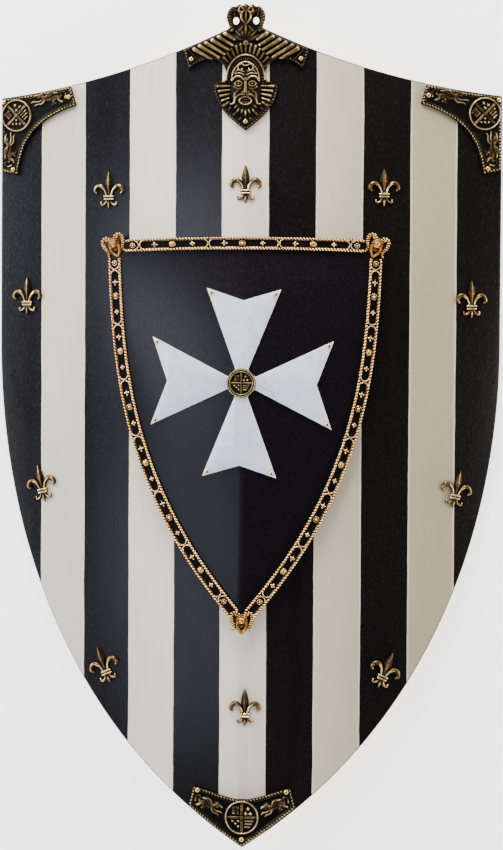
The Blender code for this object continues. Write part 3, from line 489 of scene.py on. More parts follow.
class Relief:
    """Height map of a casting in low relief, from which its mesh is made."""

    def __init__(self, low: Point, high: Point, cell: float, ground: float = 0.0) -> None:
        """Lay out an even grid.

        Args:
            low: lowest corner of the grid.
            high: highest corner.
            cell: spacing of the grid.
            ground: height of the bare casting above the seat of the relief.
        """
        self.cell = cell
        self.low = np.array(low, dtype=float)
        counts = [int(round((high[axis] - low[axis]) / cell)) + 1 for axis in (0, 1)]
        self.us = low[0] + np.arange(counts[0]) * cell
        self.vs = low[1] + np.arange(counts[1]) * cell
        self.height = np.full((counts[1], counts[0]), float(ground))
        self.cover = np.full((counts[1], counts[0]), 9.0)

    def window(self, points: np.ndarray,
               reach: float) -> tuple[slice, slice, np.ndarray, np.ndarray]:
        """Find the part of the grid near some points.

        Args:
            points: rows of u and v.
            reach: how far round them to look.

        Returns:
            The slices of rows and columns, and the u and v of the nodes in them.
        """
        first = np.floor((points.min(axis=0) - reach - self.low) / self.cell).astype(int)
        last = np.ceil((points.max(axis=0) + reach - self.low) / self.cell).astype(int) + 1
        first = np.maximum(first, 0)
        last = np.minimum(np.maximum(last, first + 1), (len(self.us), len(self.vs)))
        rows, columns = slice(first[1], last[1]), slice(first[0], last[0])
        grid_u, grid_v = np.meshgrid(self.us[columns], self.vs[rows])
        return rows, columns, grid_u, grid_v

    def put(self, rows: slice, columns: slice, closeness: np.ndarray, top: np.ndarray) -> None:
        """Raise the casting where a form covers it.

        Args:
            rows: rows of the window.
            columns: columns of the window.
            closeness: 0 on the form's middle, 1 at its foot, more outside.
            top: the form's height at each node.
        """
        here = self.height[rows, columns]
        self.height[rows, columns] = np.where(closeness < 1, np.maximum(here, top), here)
        self.cover[rows, columns] = np.minimum(self.cover[rows, columns], closeness)

    def stroke(self, path: Sequence[Point], halves: Sequence[float] | float, rise: float,
               base: float = 0.0, ridge: float = 0.0, twist: float = 0.0,
               bead: float = 0.0) -> None:
        """Draw a raised stroke.

        Args:
            path: its middle line.
            halves: half its width at each corner, or all along.
            rise: height of its crest above its base.
            base: height of the ground that it stands on.
            ridge: 0 for a round back, 1 for a sharp one.
            twist: length of one turn of a twisted cord, 0 for a plain stroke.
            bead: length of one bead of a beaded stroke, 0 for a plain one.
        """
        spots = np.array(path, dtype=float)
        wide = np.broadcast_to(np.asarray(halves, dtype=float), len(spots))
        rows, columns, grid_u, grid_v = self.window(spots, float(wide.max()))
        closest = np.full(grid_u.shape, 9.0)
        along = np.zeros(grid_u.shape)
        aside = np.zeros(grid_u.shape)
        size = np.full(grid_u.shape, wide.max())
        walked = 0.0
        for (a, b), (first, last) in zip(zip(spots, spots[1:]), zip(wide, wide[1:])):
            way = b - a
            length = float(np.hypot(*way))
            if length < 1e-6:
                continue
            unit = way / length
            from_u, from_v = grid_u - a[0], grid_v - a[1]
            share = np.clip((from_u * unit[0] + from_v * unit[1]) / length, 0, 1)
            off_u, off_v = from_u - share * way[0], from_v - share * way[1]
            half = first + (last - first) * share
            near = np.hypot(off_u, off_v) / np.maximum(half, 1e-3)
            better = near < closest
            closest = np.where(better, near, closest)
            along = np.where(better, walked + share * length, along)
            aside = np.where(better, np.sign(unit[0] * off_v - unit[1] * off_u) * near, aside)
            size = np.where(better, half, size)
            walked += length
        inside = np.clip(closest, 0, 1)
        shape = (1 - ridge) * np.sqrt(1 - inside ** 2) + ridge * (1 - inside)
        if twist:
            shape *= 0.62 + 0.38 * np.cos(2 * pi * along / twist + 2.2 * aside)
        if bead:
            shape *= np.sqrt(np.clip(1.02 - np.cos(pi * along / bead) ** 4, 0.05, 1))
        self.put(rows, columns, closest, base + rise * np.sqrt(size / wide.max()) * shape)

    def pair(self, path: Sequence[Point], halves: Sequence[float] | float, rise: float,
             **ways: float) -> None:
        """Draw a stroke and its mirror image across the middle line."""
        self.stroke(path, halves, rise, **ways)
        self.stroke([(-u, v) for u, v in path], halves, rise, **ways)

    def knob(self, centre: Point, radius: float, rise: float, base: float = 0.0,
             squash: float = 1.0, flat: float = 0.0) -> None:
        """Raise a round or oval knob.

        Args:
            centre: its middle.
            radius: half its width.
            rise: its height above its base.
            base: height of the ground that it stands on.
            squash: its height on the drawing, as a share of its width.
            flat: share of its radius that is flat.
        """
        rows, columns, grid_u, grid_v = self.window(np.array([centre]), radius * max(1, squash))
        near = np.hypot(grid_u - centre[0], (grid_v - centre[1]) / squash) / radius
        inside = np.clip((near - flat) / (1 - flat), 0, 1)
        self.put(rows, columns, near, base + rise * np.sqrt(1 - inside ** 2))

    def ring(self, centre: Point, radius: float, half: float, rise: float, base: float = 0.0,
             squash: float = 1.0, start: float = 0.0, end: float = 360.0, **ways: float) -> None:
        """Draw a raised ring or arc, its angles in degrees."""
        turns = np.radians(np.linspace(start, end, max(9, int(abs(end - start) / 9))))
        path = [(centre[0] + radius * cos(turn), centre[1] + radius * squash * sin(turn))
                for turn in turns]
        self.stroke(path, half, rise, base, **ways)

    def field(self, outline: Sequence[Point], rise: float, ease: float, base: float = 0.0) -> None:
        """Raise an area by its outline, with a slope as wide as ease along its border."""
        spots = np.array(outline, dtype=float)
        rows, columns, grid_u, grid_v = self.window(spots, self.cell)
        within, away = inside_of([outline], grid_u, grid_v)
        slope = np.clip(away / ease, 0, 1)
        top = base + rise * np.sin(slope * pi / 2)
        self.put(rows, columns, np.where(within, 0.5, 9.0), top)

    def sink(self, outline: Sequence[Point], level: float) -> None:
        """Lower an area to a level at most."""
        spots = np.array(outline, dtype=float)
        rows, columns, grid_u, grid_v = self.window(spots, self.cell)
        within, away = inside_of([outline], grid_u, grid_v)
        here = self.height[rows, columns]
        floor = np.maximum(level, here - 3 * away)
        self.height[rows, columns] = np.where(within, np.minimum(here, floor), here)

    def grit(self, amount: float, size: float, below: float, seed: int) -> None:
        """Roughen the casting's low ground, as sand leaves it.

        Args:
            amount: height of the grains.
            size: spacing of the grains.
            below: only ground lower than this is rough.
            seed: seed of the pattern.
        """
        grains = np.random.default_rng(seed).random(self.height.shape)
        for _ in range(max(1, int(size / self.cell / 2))):
            grains = blurred(grains, 1)
        grains = (grains - grains.mean()) / (grains.std() + 1e-9)
        low_ground = np.clip((below - self.height) / 0.3, 0, 1)
        self.height += amount * np.clip(grains, -1.5, 1.5) * low_ground

    def soften(self) -> None:
        """Round the edges a little, as casting and wear do."""
        self.height = 0.4 * self.height + 0.6 * blurred(self.height, 1)

    def worn(self) -> np.ndarray:
        """Measure how rubbed each node is.

        Returns:
            0 in a hollow, about 0.5 on open ground and 1 on a proud crest.
        """
        around = blurred(self.height, max(2, int(1.6 / self.cell)))
        span = max(float(self.height.max() - self.height.min()), 0.5)
        proud = (self.height - around) / (0.28 * span)
        level = (self.height - self.height.min()) / span
        return np.clip(0.34 + 0.5 * proud + 0.42 * (level - 0.35), 0, 1)

    def cast(self, name: str, seat: float, outlines: Sequence[Sequence[Point]] | None,
             edge_drop: float = 0.35, carry: Laying | None = None) -> bpy.types.Object:
        """Make the closed mesh of the casting.

        Args:
            name: name of the piece.
            seat: height of its back.
            outlines: its outline and then its piercings, or None for the outline of its forms.
            edge_drop: how far the rim is rounded down.
            carry: function that carries a straight drawing to its curved line.

        Returns:
            The piece in millimetres, with its wear kept in the attribute "worn".
        """
        grid_u, grid_v = np.meshgrid(self.us, self.vs)
        worn = self.worn()
        height = self.height.copy()
        if outlines is None:
            kept = self.cover < 1
            away = (1 - self.cover) * 2
        else:
            kept, away = inside_of(outlines, grid_u, grid_v)
        height -= edge_drop * (1 - np.clip(away / 0.6, 0, 1)) ** 2
        height = np.maximum(height, seat + 0.4)
        corners = kept[:-1, :-1] * 1 + kept[1:, :-1] + kept[:-1, 1:] + kept[1:, 1:]
        rows, columns = self.height.shape
        bpy.ops.object.select_all(action="DESELECT")
        bpy.ops.mesh.primitive_grid_add(x_subdivisions=columns - 1, y_subdivisions=rows - 1,
                                        size=1)
        piece = bpy.context.object
        piece.name = name
        piece.data.name = name
        set_coordinates(piece, np.column_stack((grid_u.ravel(), grid_v.ravel(), height.ravel())))
        mark = piece.data.attributes.new("worn", "FLOAT", "POINT")
        mark.data.foreach_set("value", worn.ravel().astype(np.float32))
        edit(piece)
        leave_edit()
        piece.data.polygons.foreach_set("select", (corners < 3).ravel())
        bpy.ops.object.mode_set(mode="EDIT")
        bpy.ops.mesh.delete(type="FACE")
        leave_edit()
        self.trim(piece, outlines)
        if carry:
            set_coordinates(piece, carry(coordinates(piece)))
        self.close(piece, seat)
        return piece

    def trim(self, piece: bpy.types.Object, outlines: Sequence[Sequence[Point]] | None) -> None:
        """Move the border points of the sheet onto the true outline."""
        ends = np.empty(len(piece.data.edges) * 2, dtype=np.int64)
        piece.data.edges.foreach_get("vertices", ends)
        rim = np.unique(ends.reshape(-1, 2)[border_edges(piece)])
        spots = coordinates(piece)
        if outlines is None:
            spots[rim, :2] = self.to_foot(spots[rim, :2])
        else:
            spots[rim, :2] = nearest_on(outlines, spots[rim, :2])
        set_coordinates(piece, spots)

    def to_foot(self, spots: np.ndarray) -> np.ndarray:
        """Move points to the foot of the forms, where the cover is 1."""
        slope_v, slope_u = np.gradient(np.clip(self.cover, 0, 3), self.cell)
        for _ in range(3):
            place = (spots - self.low) / self.cell
            column = np.clip(place[:, 0], 0, len(self.us) - 1.001)
            row = np.clip(place[:, 1], 0, len(self.vs) - 1.001)
            i, j = row.astype(int), column.astype(int)
            a, b = row - i, column - j

            def read(grid: np.ndarray) -> np.ndarray:
                """Read a grid between its nodes."""
                return ((1 - a) * ((1 - b) * grid[i, j] + b * grid[i, j + 1])
                        + a * ((1 - b) * grid[i + 1, j] + b * grid[i + 1, j + 1]))

            value = read(np.clip(self.cover, 0, 3)) - 1
            way = np.column_stack((read(slope_u), read(slope_v)))
            steep = np.maximum((way ** 2).sum(axis=1), 0.05)
            step = np.clip(value / steep, -self.cell, self.cell)[:, None] * way
            spots = spots - np.clip(step, -0.7 * self.cell, 0.7 * self.cell) * 0.8
        return spots

    @staticmethod
    def close(piece: bpy.types.Object, seat: float) -> None:
        """Give the sheet its walls and its back.

        Args:
            piece: the open sheet.
            seat: height of the back.
        """
        rim = border_edges(piece)
        edit(piece, "EDGE")
        leave_edit()
        piece.data.edges.foreach_set("select", rim)
        bpy.ops.object.mode_set(mode="EDIT")
        bpy.ops.mesh.extrude_region_move(TRANSFORM_OT_translate={"value": (0, 0, -0.1)})
        leave_edit()
        chosen = np.empty(len(piece.data.vertices), dtype=bool)
        piece.data.vertices.foreach_get("select", chosen)
        spots = coordinates(piece)
        spots[chosen, 2] = seat
        set_coordinates(piece, spots)
        bpy.ops.object.mode_set(mode="EDIT")
        bpy.ops.mesh.fill(use_beauty=False)
        leave_edit()
        sheet = bmesh.new()
        sheet.from_mesh(piece.data)
        back = [face for face in sheet.faces if face.select]
        # These stay in order, where a set would cut the back another way in each run.
        inner = dict.fromkeys(edge for face in back for edge in face.edges
                              if all(other.select for other in edge.link_faces))
        joined = bmesh.ops.dissolve_limit(sheet, angle_limit=0.01, verts=[], edges=list(inner))
        back = joined["region"]
        reach = float(np.abs(spots[:, 0]).max())
        count = int(reach / BACK_STEP)
        for index in range(-count, count + 1):
            parts = dict.fromkeys(part for face in back for part in (*face.verts, *face.edges))
            cut = bmesh.ops.bisect_plane(sheet, geom=[*back, *parts], dist=1e-4,
                                         plane_co=(index * BACK_STEP, 0, 0),
                                         plane_no=(1, 0, 0))
            back = [part for part in cut["geom"] if isinstance(part, bmesh.types.BMFace)]
        sheet.to_mesh(piece.data)
        sheet.free()


def blurred(grid: np.ndarray, reach: int) -> np.ndarray:
    """Even out a grid over a square of nodes.

    Args:
        grid: the values.
        reach: nodes on each side that are taken in.

    Returns:
        The mean round each node.
    """
    for axis in (0, 1):
        wide = np.pad(grid, [(reach + 1, reach) if a == axis else (0, 0) for a in (0, 1)], "edge")
        total = np.cumsum(wide, axis=axis)
        count = grid.shape[axis]
        high = np.take(total, np.arange(count) + 2 * reach + 1, axis=axis)
        grid = (high - np.take(total, np.arange(count), axis=axis)) / (2 * reach + 1)
    return grid


def inside_of(outlines: Sequence[Sequence[Point]], grid_u: np.ndarray,
              grid_v: np.ndarray) -> tuple[np.ndarray, np.ndarray]:
    """Find which nodes lie inside an outline and outside its piercings.

    Args:
        outlines: closed outlines.
        grid_u: u of the nodes.
        grid_v: v of the nodes.

    Returns:
        Whether each node is inside, and its distance to the nearest outline.
    """
    within = np.zeros(grid_u.shape, dtype=bool)
    away = np.full(grid_u.shape, 1e9)
    for outline in outlines:
        spots = np.array(outline, dtype=float)
        for a, b in zip(spots, np.roll(spots, -1, axis=0)):
            way = b - a
            length2 = float(way @ way)
            if length2 < 1e-12:
                continue
            share = np.clip(((grid_u - a[0]) * way[0] + (grid_v - a[1]) * way[1]) / length2, 0, 1)
            away = np.minimum(away, np.hypot(grid_u - a[0] - share * way[0],
                                             grid_v - a[1] - share * way[1]))
            if a[1] != b[1]:
                crosses = (a[1] > grid_v) != (b[1] > grid_v)
                within ^= crosses & (grid_u < way[0] * (grid_v - a[1]) / way[1] + a[0])
    return within, away


def nearest_on(outlines: Sequence[Sequence[Point]], spots: np.ndarray) -> np.ndarray:
    """Find the nearest point of some outlines to each of the given points."""
    best = np.full(len(spots), 1e9)
    result = spots.copy()
    for outline in outlines:
        corners = np.array(outline, dtype=float)
        for a, b in zip(corners, np.roll(corners, -1, axis=0)):
            way = b - a
            length2 = max(float(way @ way), 1e-12)
            share = np.clip(((spots - a) @ way) / length2, 0, 1)[:, None]
            place = a + share * way
            away = np.hypot(*(spots - place).T)
            better = away < best
            best = np.where(better, away, best)
            result[better] = place[better]
    return result


# Finishes

def linear(colour: str) -> tuple[float, float, float, float]:
    """Turn an sRGB hex colour to linear values."""
    parts = [int(colour[i:i + 2], 16) / 255 for i in (1, 3, 5)]
    return tuple(part / 12.92 if part <= 0.04045 else ((part + 0.055) / 1.055) ** 2.4
                 for part in parts) + (1.0,)


def add_node(tree: bpy.types.NodeTree, kind: str, links: dict | None = None,
             values: dict | None = None, **settings: object) -> bpy.types.Node:
    """Add a shader node.

    Args:
        tree: node tree of the material.
        kind: type of the node.
        links: output sockets that feed its inputs, by name or number.
        values: fixed values of its inputs, by name or number.
        settings: its own properties.

    Returns:
        The new node.
    """
    node = tree.nodes.new(kind)
    for name, value in settings.items():
        setattr(node, name, value)
    for name, value in (values or {}).items():
        node.inputs[name].default_value = value
    for name, socket in (links or {}).items():
        tree.links.new(socket, node.inputs[name])
    return node


class Coat:
    """A new material with its tree, its shader and the piece's own coordinates."""

    def __init__(self, name: str, **values: float) -> None:
        """Start the material.

        Args:
            name: name of the material.
            values: constant values of the shader, with _ for each space.
        """
        self.material = bpy.data.materials.new(name)
        self.material.use_nodes = True
        self.tree = self.material.node_tree
        self.shader = next(n for n in self.tree.nodes if n.type == "BSDF_PRINCIPLED")
        for key, value in values.items():
            self.shader.inputs[key.replace("_", " ")].default_value = value
        self.place = self.add("ShaderNodeTexCoord").outputs["Object"]

    def add(self, kind: str, links: dict | None = None, values: dict | None = None,
            **settings: object) -> bpy.types.Node:
        """Add a node to this material."""
        return add_node(self.tree, kind, links, values, **settings)

    def feed(self, name: str, socket: bpy.types.NodeSocket) -> None:
        """Link a socket to the shader."""
        self.tree.links.new(socket, self.shader.inputs[name])

    def noise(self, across: float, along: float, detail: float = 3.0,
              rough: float = 0.55) -> bpy.types.NodeSocket:
        """Make a noise stretched up the shield.

        Args:
            across: size of its grains across, in millimetres.
            along: size of its grains up the shield, in millimetres.
            detail: octaves.
            rough: weight of the finer octaves.

        Returns:
            The noise value's socket.
        """
        scaled = self.add("ShaderNodeMapping", {"Vector": self.place},
                          {"Scale": (1 / (across * MM), 1 / (along * MM), 1 / (across * MM))})
        made = self.add("ShaderNodeTexNoise", {"Vector": scaled.outputs[0]},
                        {"Scale": 1.0, "Detail": detail, "Roughness": rough})
        return made.outputs["Fac"]

    def ranged(self, value: bpy.types.NodeSocket, low: float, high: float, first: float = 0.0,
               last: float = 1.0) -> bpy.types.NodeSocket:
        """Map a value from one range to another, smoothly at its ends."""
        node = self.add("ShaderNodeMapRange", {"Value": value},
                        {"From Min": low, "From Max": high, "To Min": first, "To Max": last},
                        interpolation_type="SMOOTHSTEP")
        return node.outputs[0]

    def sum(self, kind: str, first: object, second: object) -> bpy.types.NodeSocket:
        """Join two values, sockets or numbers, by a kind of sum."""
        node = self.add("ShaderNodeMath", operation=kind)
        for slot, value in enumerate((first, second)):
            if isinstance(value, (int, float)):
                node.inputs[slot].default_value = value
            else:
                self.tree.links.new(value, node.inputs[slot])
        return node.outputs[0]

    def scaled(self, value: bpy.types.NodeSocket, factor: float,
               offset: float = 0.0) -> bpy.types.NodeSocket:
        """Multiply a value by a factor and add an offset."""
        node = self.add("ShaderNodeMath", {0: value}, {1: factor, 2: offset},
                        operation="MULTIPLY_ADD")
        return node.outputs[0]

    def swing(self, value: bpy.types.NodeSocket, amount: float) -> bpy.types.NodeSocket:
        """Turn a noise into a change of about half the amount to either side of zero."""
        return self.scaled(value, amount, -0.5 * amount)

    def blend(self, share: bpy.types.NodeSocket, first: object,
              second: object) -> bpy.types.NodeSocket:
        """Mix two colours, hex strings or sockets."""
        node = self.add("ShaderNodeMix", {"Factor": share}, data_type="RGBA")
        for slot, value in ((6, first), (7, second)):
            if isinstance(value, str):
                node.inputs[slot].default_value = linear(value)
            else:
                self.tree.links.new(value, node.inputs[slot])
        return node.outputs[2]

    def bump(self, height: bpy.types.NodeSocket, depth: float, strength: float = 1.0) -> None:
        """Roughen the surface by a height whose range is depth millimetres."""
        node = self.add("ShaderNodeBump", {"Height": height},
                        {"Strength": strength, "Distance": depth * MM})
        self.feed("Normal", node.outputs[0])


@dataclass(frozen=True)
class StripedLacquer:
    """Cream and black gloss lacquer brushed in masked stripes over open-pored veneer, its cream
    and black graded across the board by painted light and its cream stripes edged with a painted
    highlight.
    """

    stripe: float = 40.0
    # Painted light: the cream is cool grey on the left, brightest just left of the middle and
    # darker on the right as painted shade.
    cream_left_painted_cool_light: str = "#D8CDB6"
    cream_middle_painted_full_light: str = "#EFE5D0"
    cream_right_painted_shade: str = "#A89B80"
    # Painted light: the black carries a bluish painted sheen on the left and is darker and browner
    # on the right as painted shade.
    black_left_painted_sheen: str = "#121115"
    black_right_painted_shade: str = "#0C0807"
    pore: str = "#26242A"

    def material(self) -> bpy.types.Material:
        """Build the material; pores of 0.8 by 3 mm are drawn a little coarse so that they show."""
        coat = Coat("striped_gloss_lacquer", Specular_IOR_Level=0.3, Coat_Weight=0.08,
                    Coat_Roughness=0.2)
        parts = coat.add("ShaderNodeSeparateXYZ", {"Vector": coat.place}).outputs
        depth = coat.sum("ADD", parts["Z"], (BEND.radius - BEND.apex) * MM)
        along = coat.sum("MULTIPLY", coat.sum("ARCTAN2", parts["X"], depth), BEND.radius)
        wander = coat.swing(coat.noise(60, 45, 3.0), 1.6)
        fold = coat.sum("PINGPONG", coat.sum("ADD", along, wander), self.stripe)
        half = self.stripe / 2
        cream = coat.ranged(fold, half - 0.18, half + 0.18, 1.0, 0.0)
        pores = coat.noise(0.8, 3.2, 2.0, 0.6)
        grain = coat.noise(1.6, 55.0, 3.0, 0.6)
        figure = coat.noise(26.0, 150.0, 2.5, 0.5)
        # Painted light across the board: cool grey cream on the left, the brightest cream just
        # left of the middle and darker cream on the right as painted shade of the bend turning
        # from the light.
        light = coat.blend(coat.ranged(along, -150.0, -60.0), self.cream_left_painted_cool_light, self.cream_middle_painted_full_light)
        light = coat.blend(coat.ranged(along, -40.0, 170.0), light, self.cream_right_painted_shade)
        light = coat.blend(coat.ranged(grain, 0.42, 0.78, 0.0, 0.22), light, "#B9AE96")
        light = coat.blend(coat.ranged(pores, 0.66, 0.78, 0.0, 0.35), light, "#8E8574")
        # Painted highlight: a paler line just inside the edge of each cream stripe; the same line
        # also raises the bump a little.
        edge = coat.sum("ABSOLUTE", coat.sum("SUBTRACT", fold, half - 0.9), 0.0)
        rim = coat.ranged(edge, 0.25, 0.9, 0.55, 0.0)
        light = coat.blend(rim, light, "#E6DFCC")
        # Painted sheen and shade: the black is graded from bluish on the left to darker brown on
        # the right.
        dark = coat.blend(coat.ranged(along, -190.0, 120.0), self.black_left_painted_sheen, self.black_right_painted_shade)
        dark = coat.blend(coat.ranged(pores, 0.54, 0.74, 0.0, 0.35), dark, self.pore)
        dark = coat.blend(coat.ranged(figure, 0.5, 0.62, 0.0, 0.45), dark, "#050404")
        coat.feed("Base Color", coat.blend(cream, dark, light))
        coat.feed("Roughness", coat.scaled(pores, 0.26, 0.12))
        veneer = coat.sum("ADD", coat.scaled(pores, 0.6), coat.scaled(grain, 0.5))
        paint = coat.sum("ADD", coat.scaled(rim, 0.5), cream)
        coat.bump(coat.sum("ADD", veneer, paint), 0.05, 0.8)
        return coat.material


@dataclass(frozen=True)
class BlackLacquer:
    """Black gloss lacquer, brushed thin over veneer so that its pores still show."""

    name: str = "black_gloss_lacquer"
    base: str = "#17131A"
    pore: str = "#322D36"
    worn: str = "#2A1C12"
    patch: float = 0.35

    def material(self) -> bpy.types.Material:
        """Build the material; pores as on the stripes."""
        coat = Coat(self.name, Specular_IOR_Level=0.28, Coat_Weight=0.06, Coat_Roughness=0.25)
        pores = coat.noise(0.8, 3.0, 2.0, 0.6)
        cloud = coat.noise(30.0, 70.0, 3.0, 0.5)
        shade = coat.blend(coat.ranged(pores, 0.54, 0.74, 0.0, 0.6), self.base, self.pore)
        shade = coat.blend(coat.ranged(cloud, 0.45, 0.7, 0.0, self.patch), shade, self.worn)
        coat.feed("Base Color", shade)
        coat.feed("Roughness", coat.scaled(pores, 0.3, 0.14))
        coat.bump(pores, 0.05, 0.7)
        return coat.material


@dataclass(frozen=True)
class BarePlywood:
    """Sanded birch plywood, sealed thin: pale ribbons of grain and fine dark pores."""

    light: str = "#C4A378"
    dark: str = "#9A7448"

    def material(self) -> bpy.types.Material:
        """Build the material; year rings lie about 12 mm apart and pores are 0.6 mm wide."""
        coat = Coat("sealed_birch_plywood")
        rings = coat.noise(12.0, 190.0, 4.0, 0.6)
        pores = coat.noise(0.6, 7.0, 2.0, 0.6)
        shade = coat.blend(coat.ranged(rings, 0.35, 0.65), self.light, self.dark)
        shade = coat.blend(coat.ranged(pores, 0.58, 0.74, 0.0, 0.6), shade, "#6B4A2A")
        coat.feed("Base Color", shade)
        coat.feed("Roughness", coat.scaled(rings, 0.3, 0.45))
        coat.bump(pores, 0.12, 0.6)
        return coat.material


@dataclass(frozen=True)
class WhiteEnamel:
    """Cool white gloss enamel poured on sheet metal, with a soft skin and fine craze lines."""

    base: str = "#E4E7F2"
    shade: str = "#BFC6D8"
    craze: str = "#9BA2B4"

    def material(self) -> bpy.types.Material:
        """Build the material; craze lines 7 mm apart show only in patches."""
        coat = Coat("cool_white_enamel", Coat_Weight=0.6, Coat_Roughness=0.08)
        skin = coat.noise(9.0, 9.0, 3.0, 0.5)
        speck = coat.noise(0.9, 0.9, 2.0, 0.6)
        cells = coat.add("ShaderNodeTexVoronoi", {"Vector": coat.place}, {"Scale": 140.0},
                         feature="DISTANCE_TO_EDGE")
        lines = coat.ranged(cells.outputs["Distance"], 0.0, 0.05, 1.0, 0.0)
        patches = coat.ranged(coat.noise(28.0, 28.0, 2.0), 0.5, 0.6)
        crazed = coat.sum("MULTIPLY", lines, coat.scaled(patches, 0.45))
        colour = coat.blend(coat.ranged(skin, 0.4, 0.7, 0.0, 0.5), self.base, self.shade)
        colour = coat.blend(coat.ranged(speck, 0.66, 0.8, 0.0, 0.4), colour, "#A9AEBB")
        coat.feed("Base Color", coat.blend(crazed, colour, self.craze))
        coat.feed("Roughness", coat.scaled(skin, 0.25, 0.12))
        coat.bump(coat.sum("SUBTRACT", skin, coat.scaled(crazed, 0.4)), 0.1, 0.6)
        return coat.material


@dataclass(frozen=True)
class CastBrass:
    """Cast brass with dark patina left in its hollows and its crests rubbed bright."""

    name: str
    hollow: str
    ground: str
    body: str
    crest: str
    ground_at: float = 0.3
    body_at: float = 0.52
    crest_at: float = 0.8
    crest_rough: float = 0.26
    ground_rough: float = 0.6

    def material(self) -> bpy.types.Material:
        """Build the material; casting grain of 0.5 mm, tarnish in patches of 6 mm."""
        coat = Coat(self.name, Specular_IOR_Level=0.12)
        worn = coat.add("ShaderNodeAttribute", attribute_name="worn").outputs["Fac"]
        grain = coat.noise(0.5, 0.5, 2.0, 0.6)
        tarnish = coat.noise(6.0, 6.0, 3.0, 0.6)
        stirred = coat.sum("ADD", worn, coat.swing(grain, 0.45))
        stirred = coat.sum("ADD", stirred, coat.swing(tarnish, 0.5))
        low = coat.ranged(stirred, self.ground_at - 0.2, self.ground_at)
        middle = coat.ranged(stirred, self.ground_at, self.body_at)
        high = coat.ranged(stirred, self.body_at, self.crest_at)
        colour = coat.blend(low, self.hollow, self.ground)
        colour = coat.blend(middle, colour, self.body)
        coat.feed("Base Color", coat.blend(high, colour, self.crest))
        coat.feed("Metallic", coat.ranged(stirred, self.ground_at - 0.12, self.body_at, 0.12, 1.0))
        rough = coat.ranged(stirred, self.ground_at, self.crest_at, self.ground_rough,
                            self.crest_rough)
        coat.feed("Roughness", coat.sum("ADD", rough, coat.swing(grain, 0.1)))
        coat.bump(grain, 0.06, 0.5)
        return coat.material


class Finishes:
    """All finishes of the shield, each made once."""

    def __init__(self) -> None:
        """Make the materials."""
        self.stripes = StripedLacquer().material()
        self.panel = BlackLacquer("black_lacquer_panel", "#09060A", "#1C161C",
                                  "#0F0908").material()
        self.edge = BlackLacquer("black_lacquer_edge", "#120F0E", "#241C18", "#2A1C12",
                                 0.6).material()
        self.plywood = BarePlywood().material()
        self.enamel = WhiteEnamel().material()
        self.antique = CastBrass("antique_cast_brass", "#050302", "#120A05", "#64502F", "#DCC08A",
                                 0.42, 0.66, 0.97, 0.26, 0.55).material()
        self.dark_antique = CastBrass("dark_antique_cast_brass", "#050302", "#0E0804", "#4A3920",
                                      "#BCA276", 0.46, 0.72, 1.04, 0.28, 0.55).material()
        self.gilt = CastBrass("gilt_cast_brass", "#060405", "#170F0C", "#9A6A38", "#F0C48A",
                              0.42, 0.62, 0.9, 0.26, 0.5).material()
        self.coppery = CastBrass("coppery_gilt_brass", "#1A0D06", "#56300F", "#A4702E", "#EEBE7C",
                                 0.34, 0.55, 0.9, 0.3, 0.5).material()
        self.bronze = CastBrass("olive_bronze", "#080603", "#151007", "#4C4226", "#96835A",
                                0.42, 0.68, 1.0).material()
        self.polished = CastBrass("polished_brass", "#0C0704", "#20150B", "#6E5028", "#EACB92",
                                  0.4, 0.64, 0.95, 0.16, 0.4).material()
        # On the nails this ramp runs by height: painted shade at the head's foot and a painted
        # highlight on its crown.
        self.nail = CastBrass("brass_nail", "#2A1A0A", "#7A5820", "#C08E36", "#EDBE62",
                              0.1, 0.3, 0.8, 0.2, 0.4).material()


# Board, panel and cross

@dataclass
class Board:
    """Bent plywood board, striped on its face, black on its edge and bare on its back."""

    arris: float = 0.9
    flat_face: float = 0.97  # steeper faces belong to the painted edge
    flat_back: float = -0.9

    def build(self, finishes: Finishes) -> None:
        """Build and dress the board."""
        board = slab("striped_board", BOARD.outline(), -BEND.thickness, 0.0, self.arris)
        for material in (finishes.stripes, finishes.edge, finishes.plywood):
            board.data.materials.append(material)
        for face in board.data.polygons:
            if face.normal.z < self.flat_face:
                face.material_index = 2 if face.normal.z < self.flat_back else 1
        finished(board, BEND.lay)
        edit(board)
        bpy.ops.mesh.select_all(action="SELECT")
        bpy.ops.mesh.bisect(plane_co=(0, 0, 0), plane_no=(0, 0, 1), clear_inner=True,
                            use_fill=True, threshold=1e-6)
        leave_edit()
        settle(board, (), "striped_board", "board")


@dataclass
class RaisedPanel:
    """Black lacquered panel under the border strips."""

    seat: float = SEAT_GAP
    face: float = 9.3
    arris: float = 0.5

    def build(self, finishes: Finishes) -> None:
        """Build and dress the panel."""
        panel = slab("raised_panel", BORDER.panel_outline(), self.seat, self.face, self.arris)
        finished(panel, BEND.lay)
        settle(panel, (finishes.panel,), "black_panel", "inner_panel")


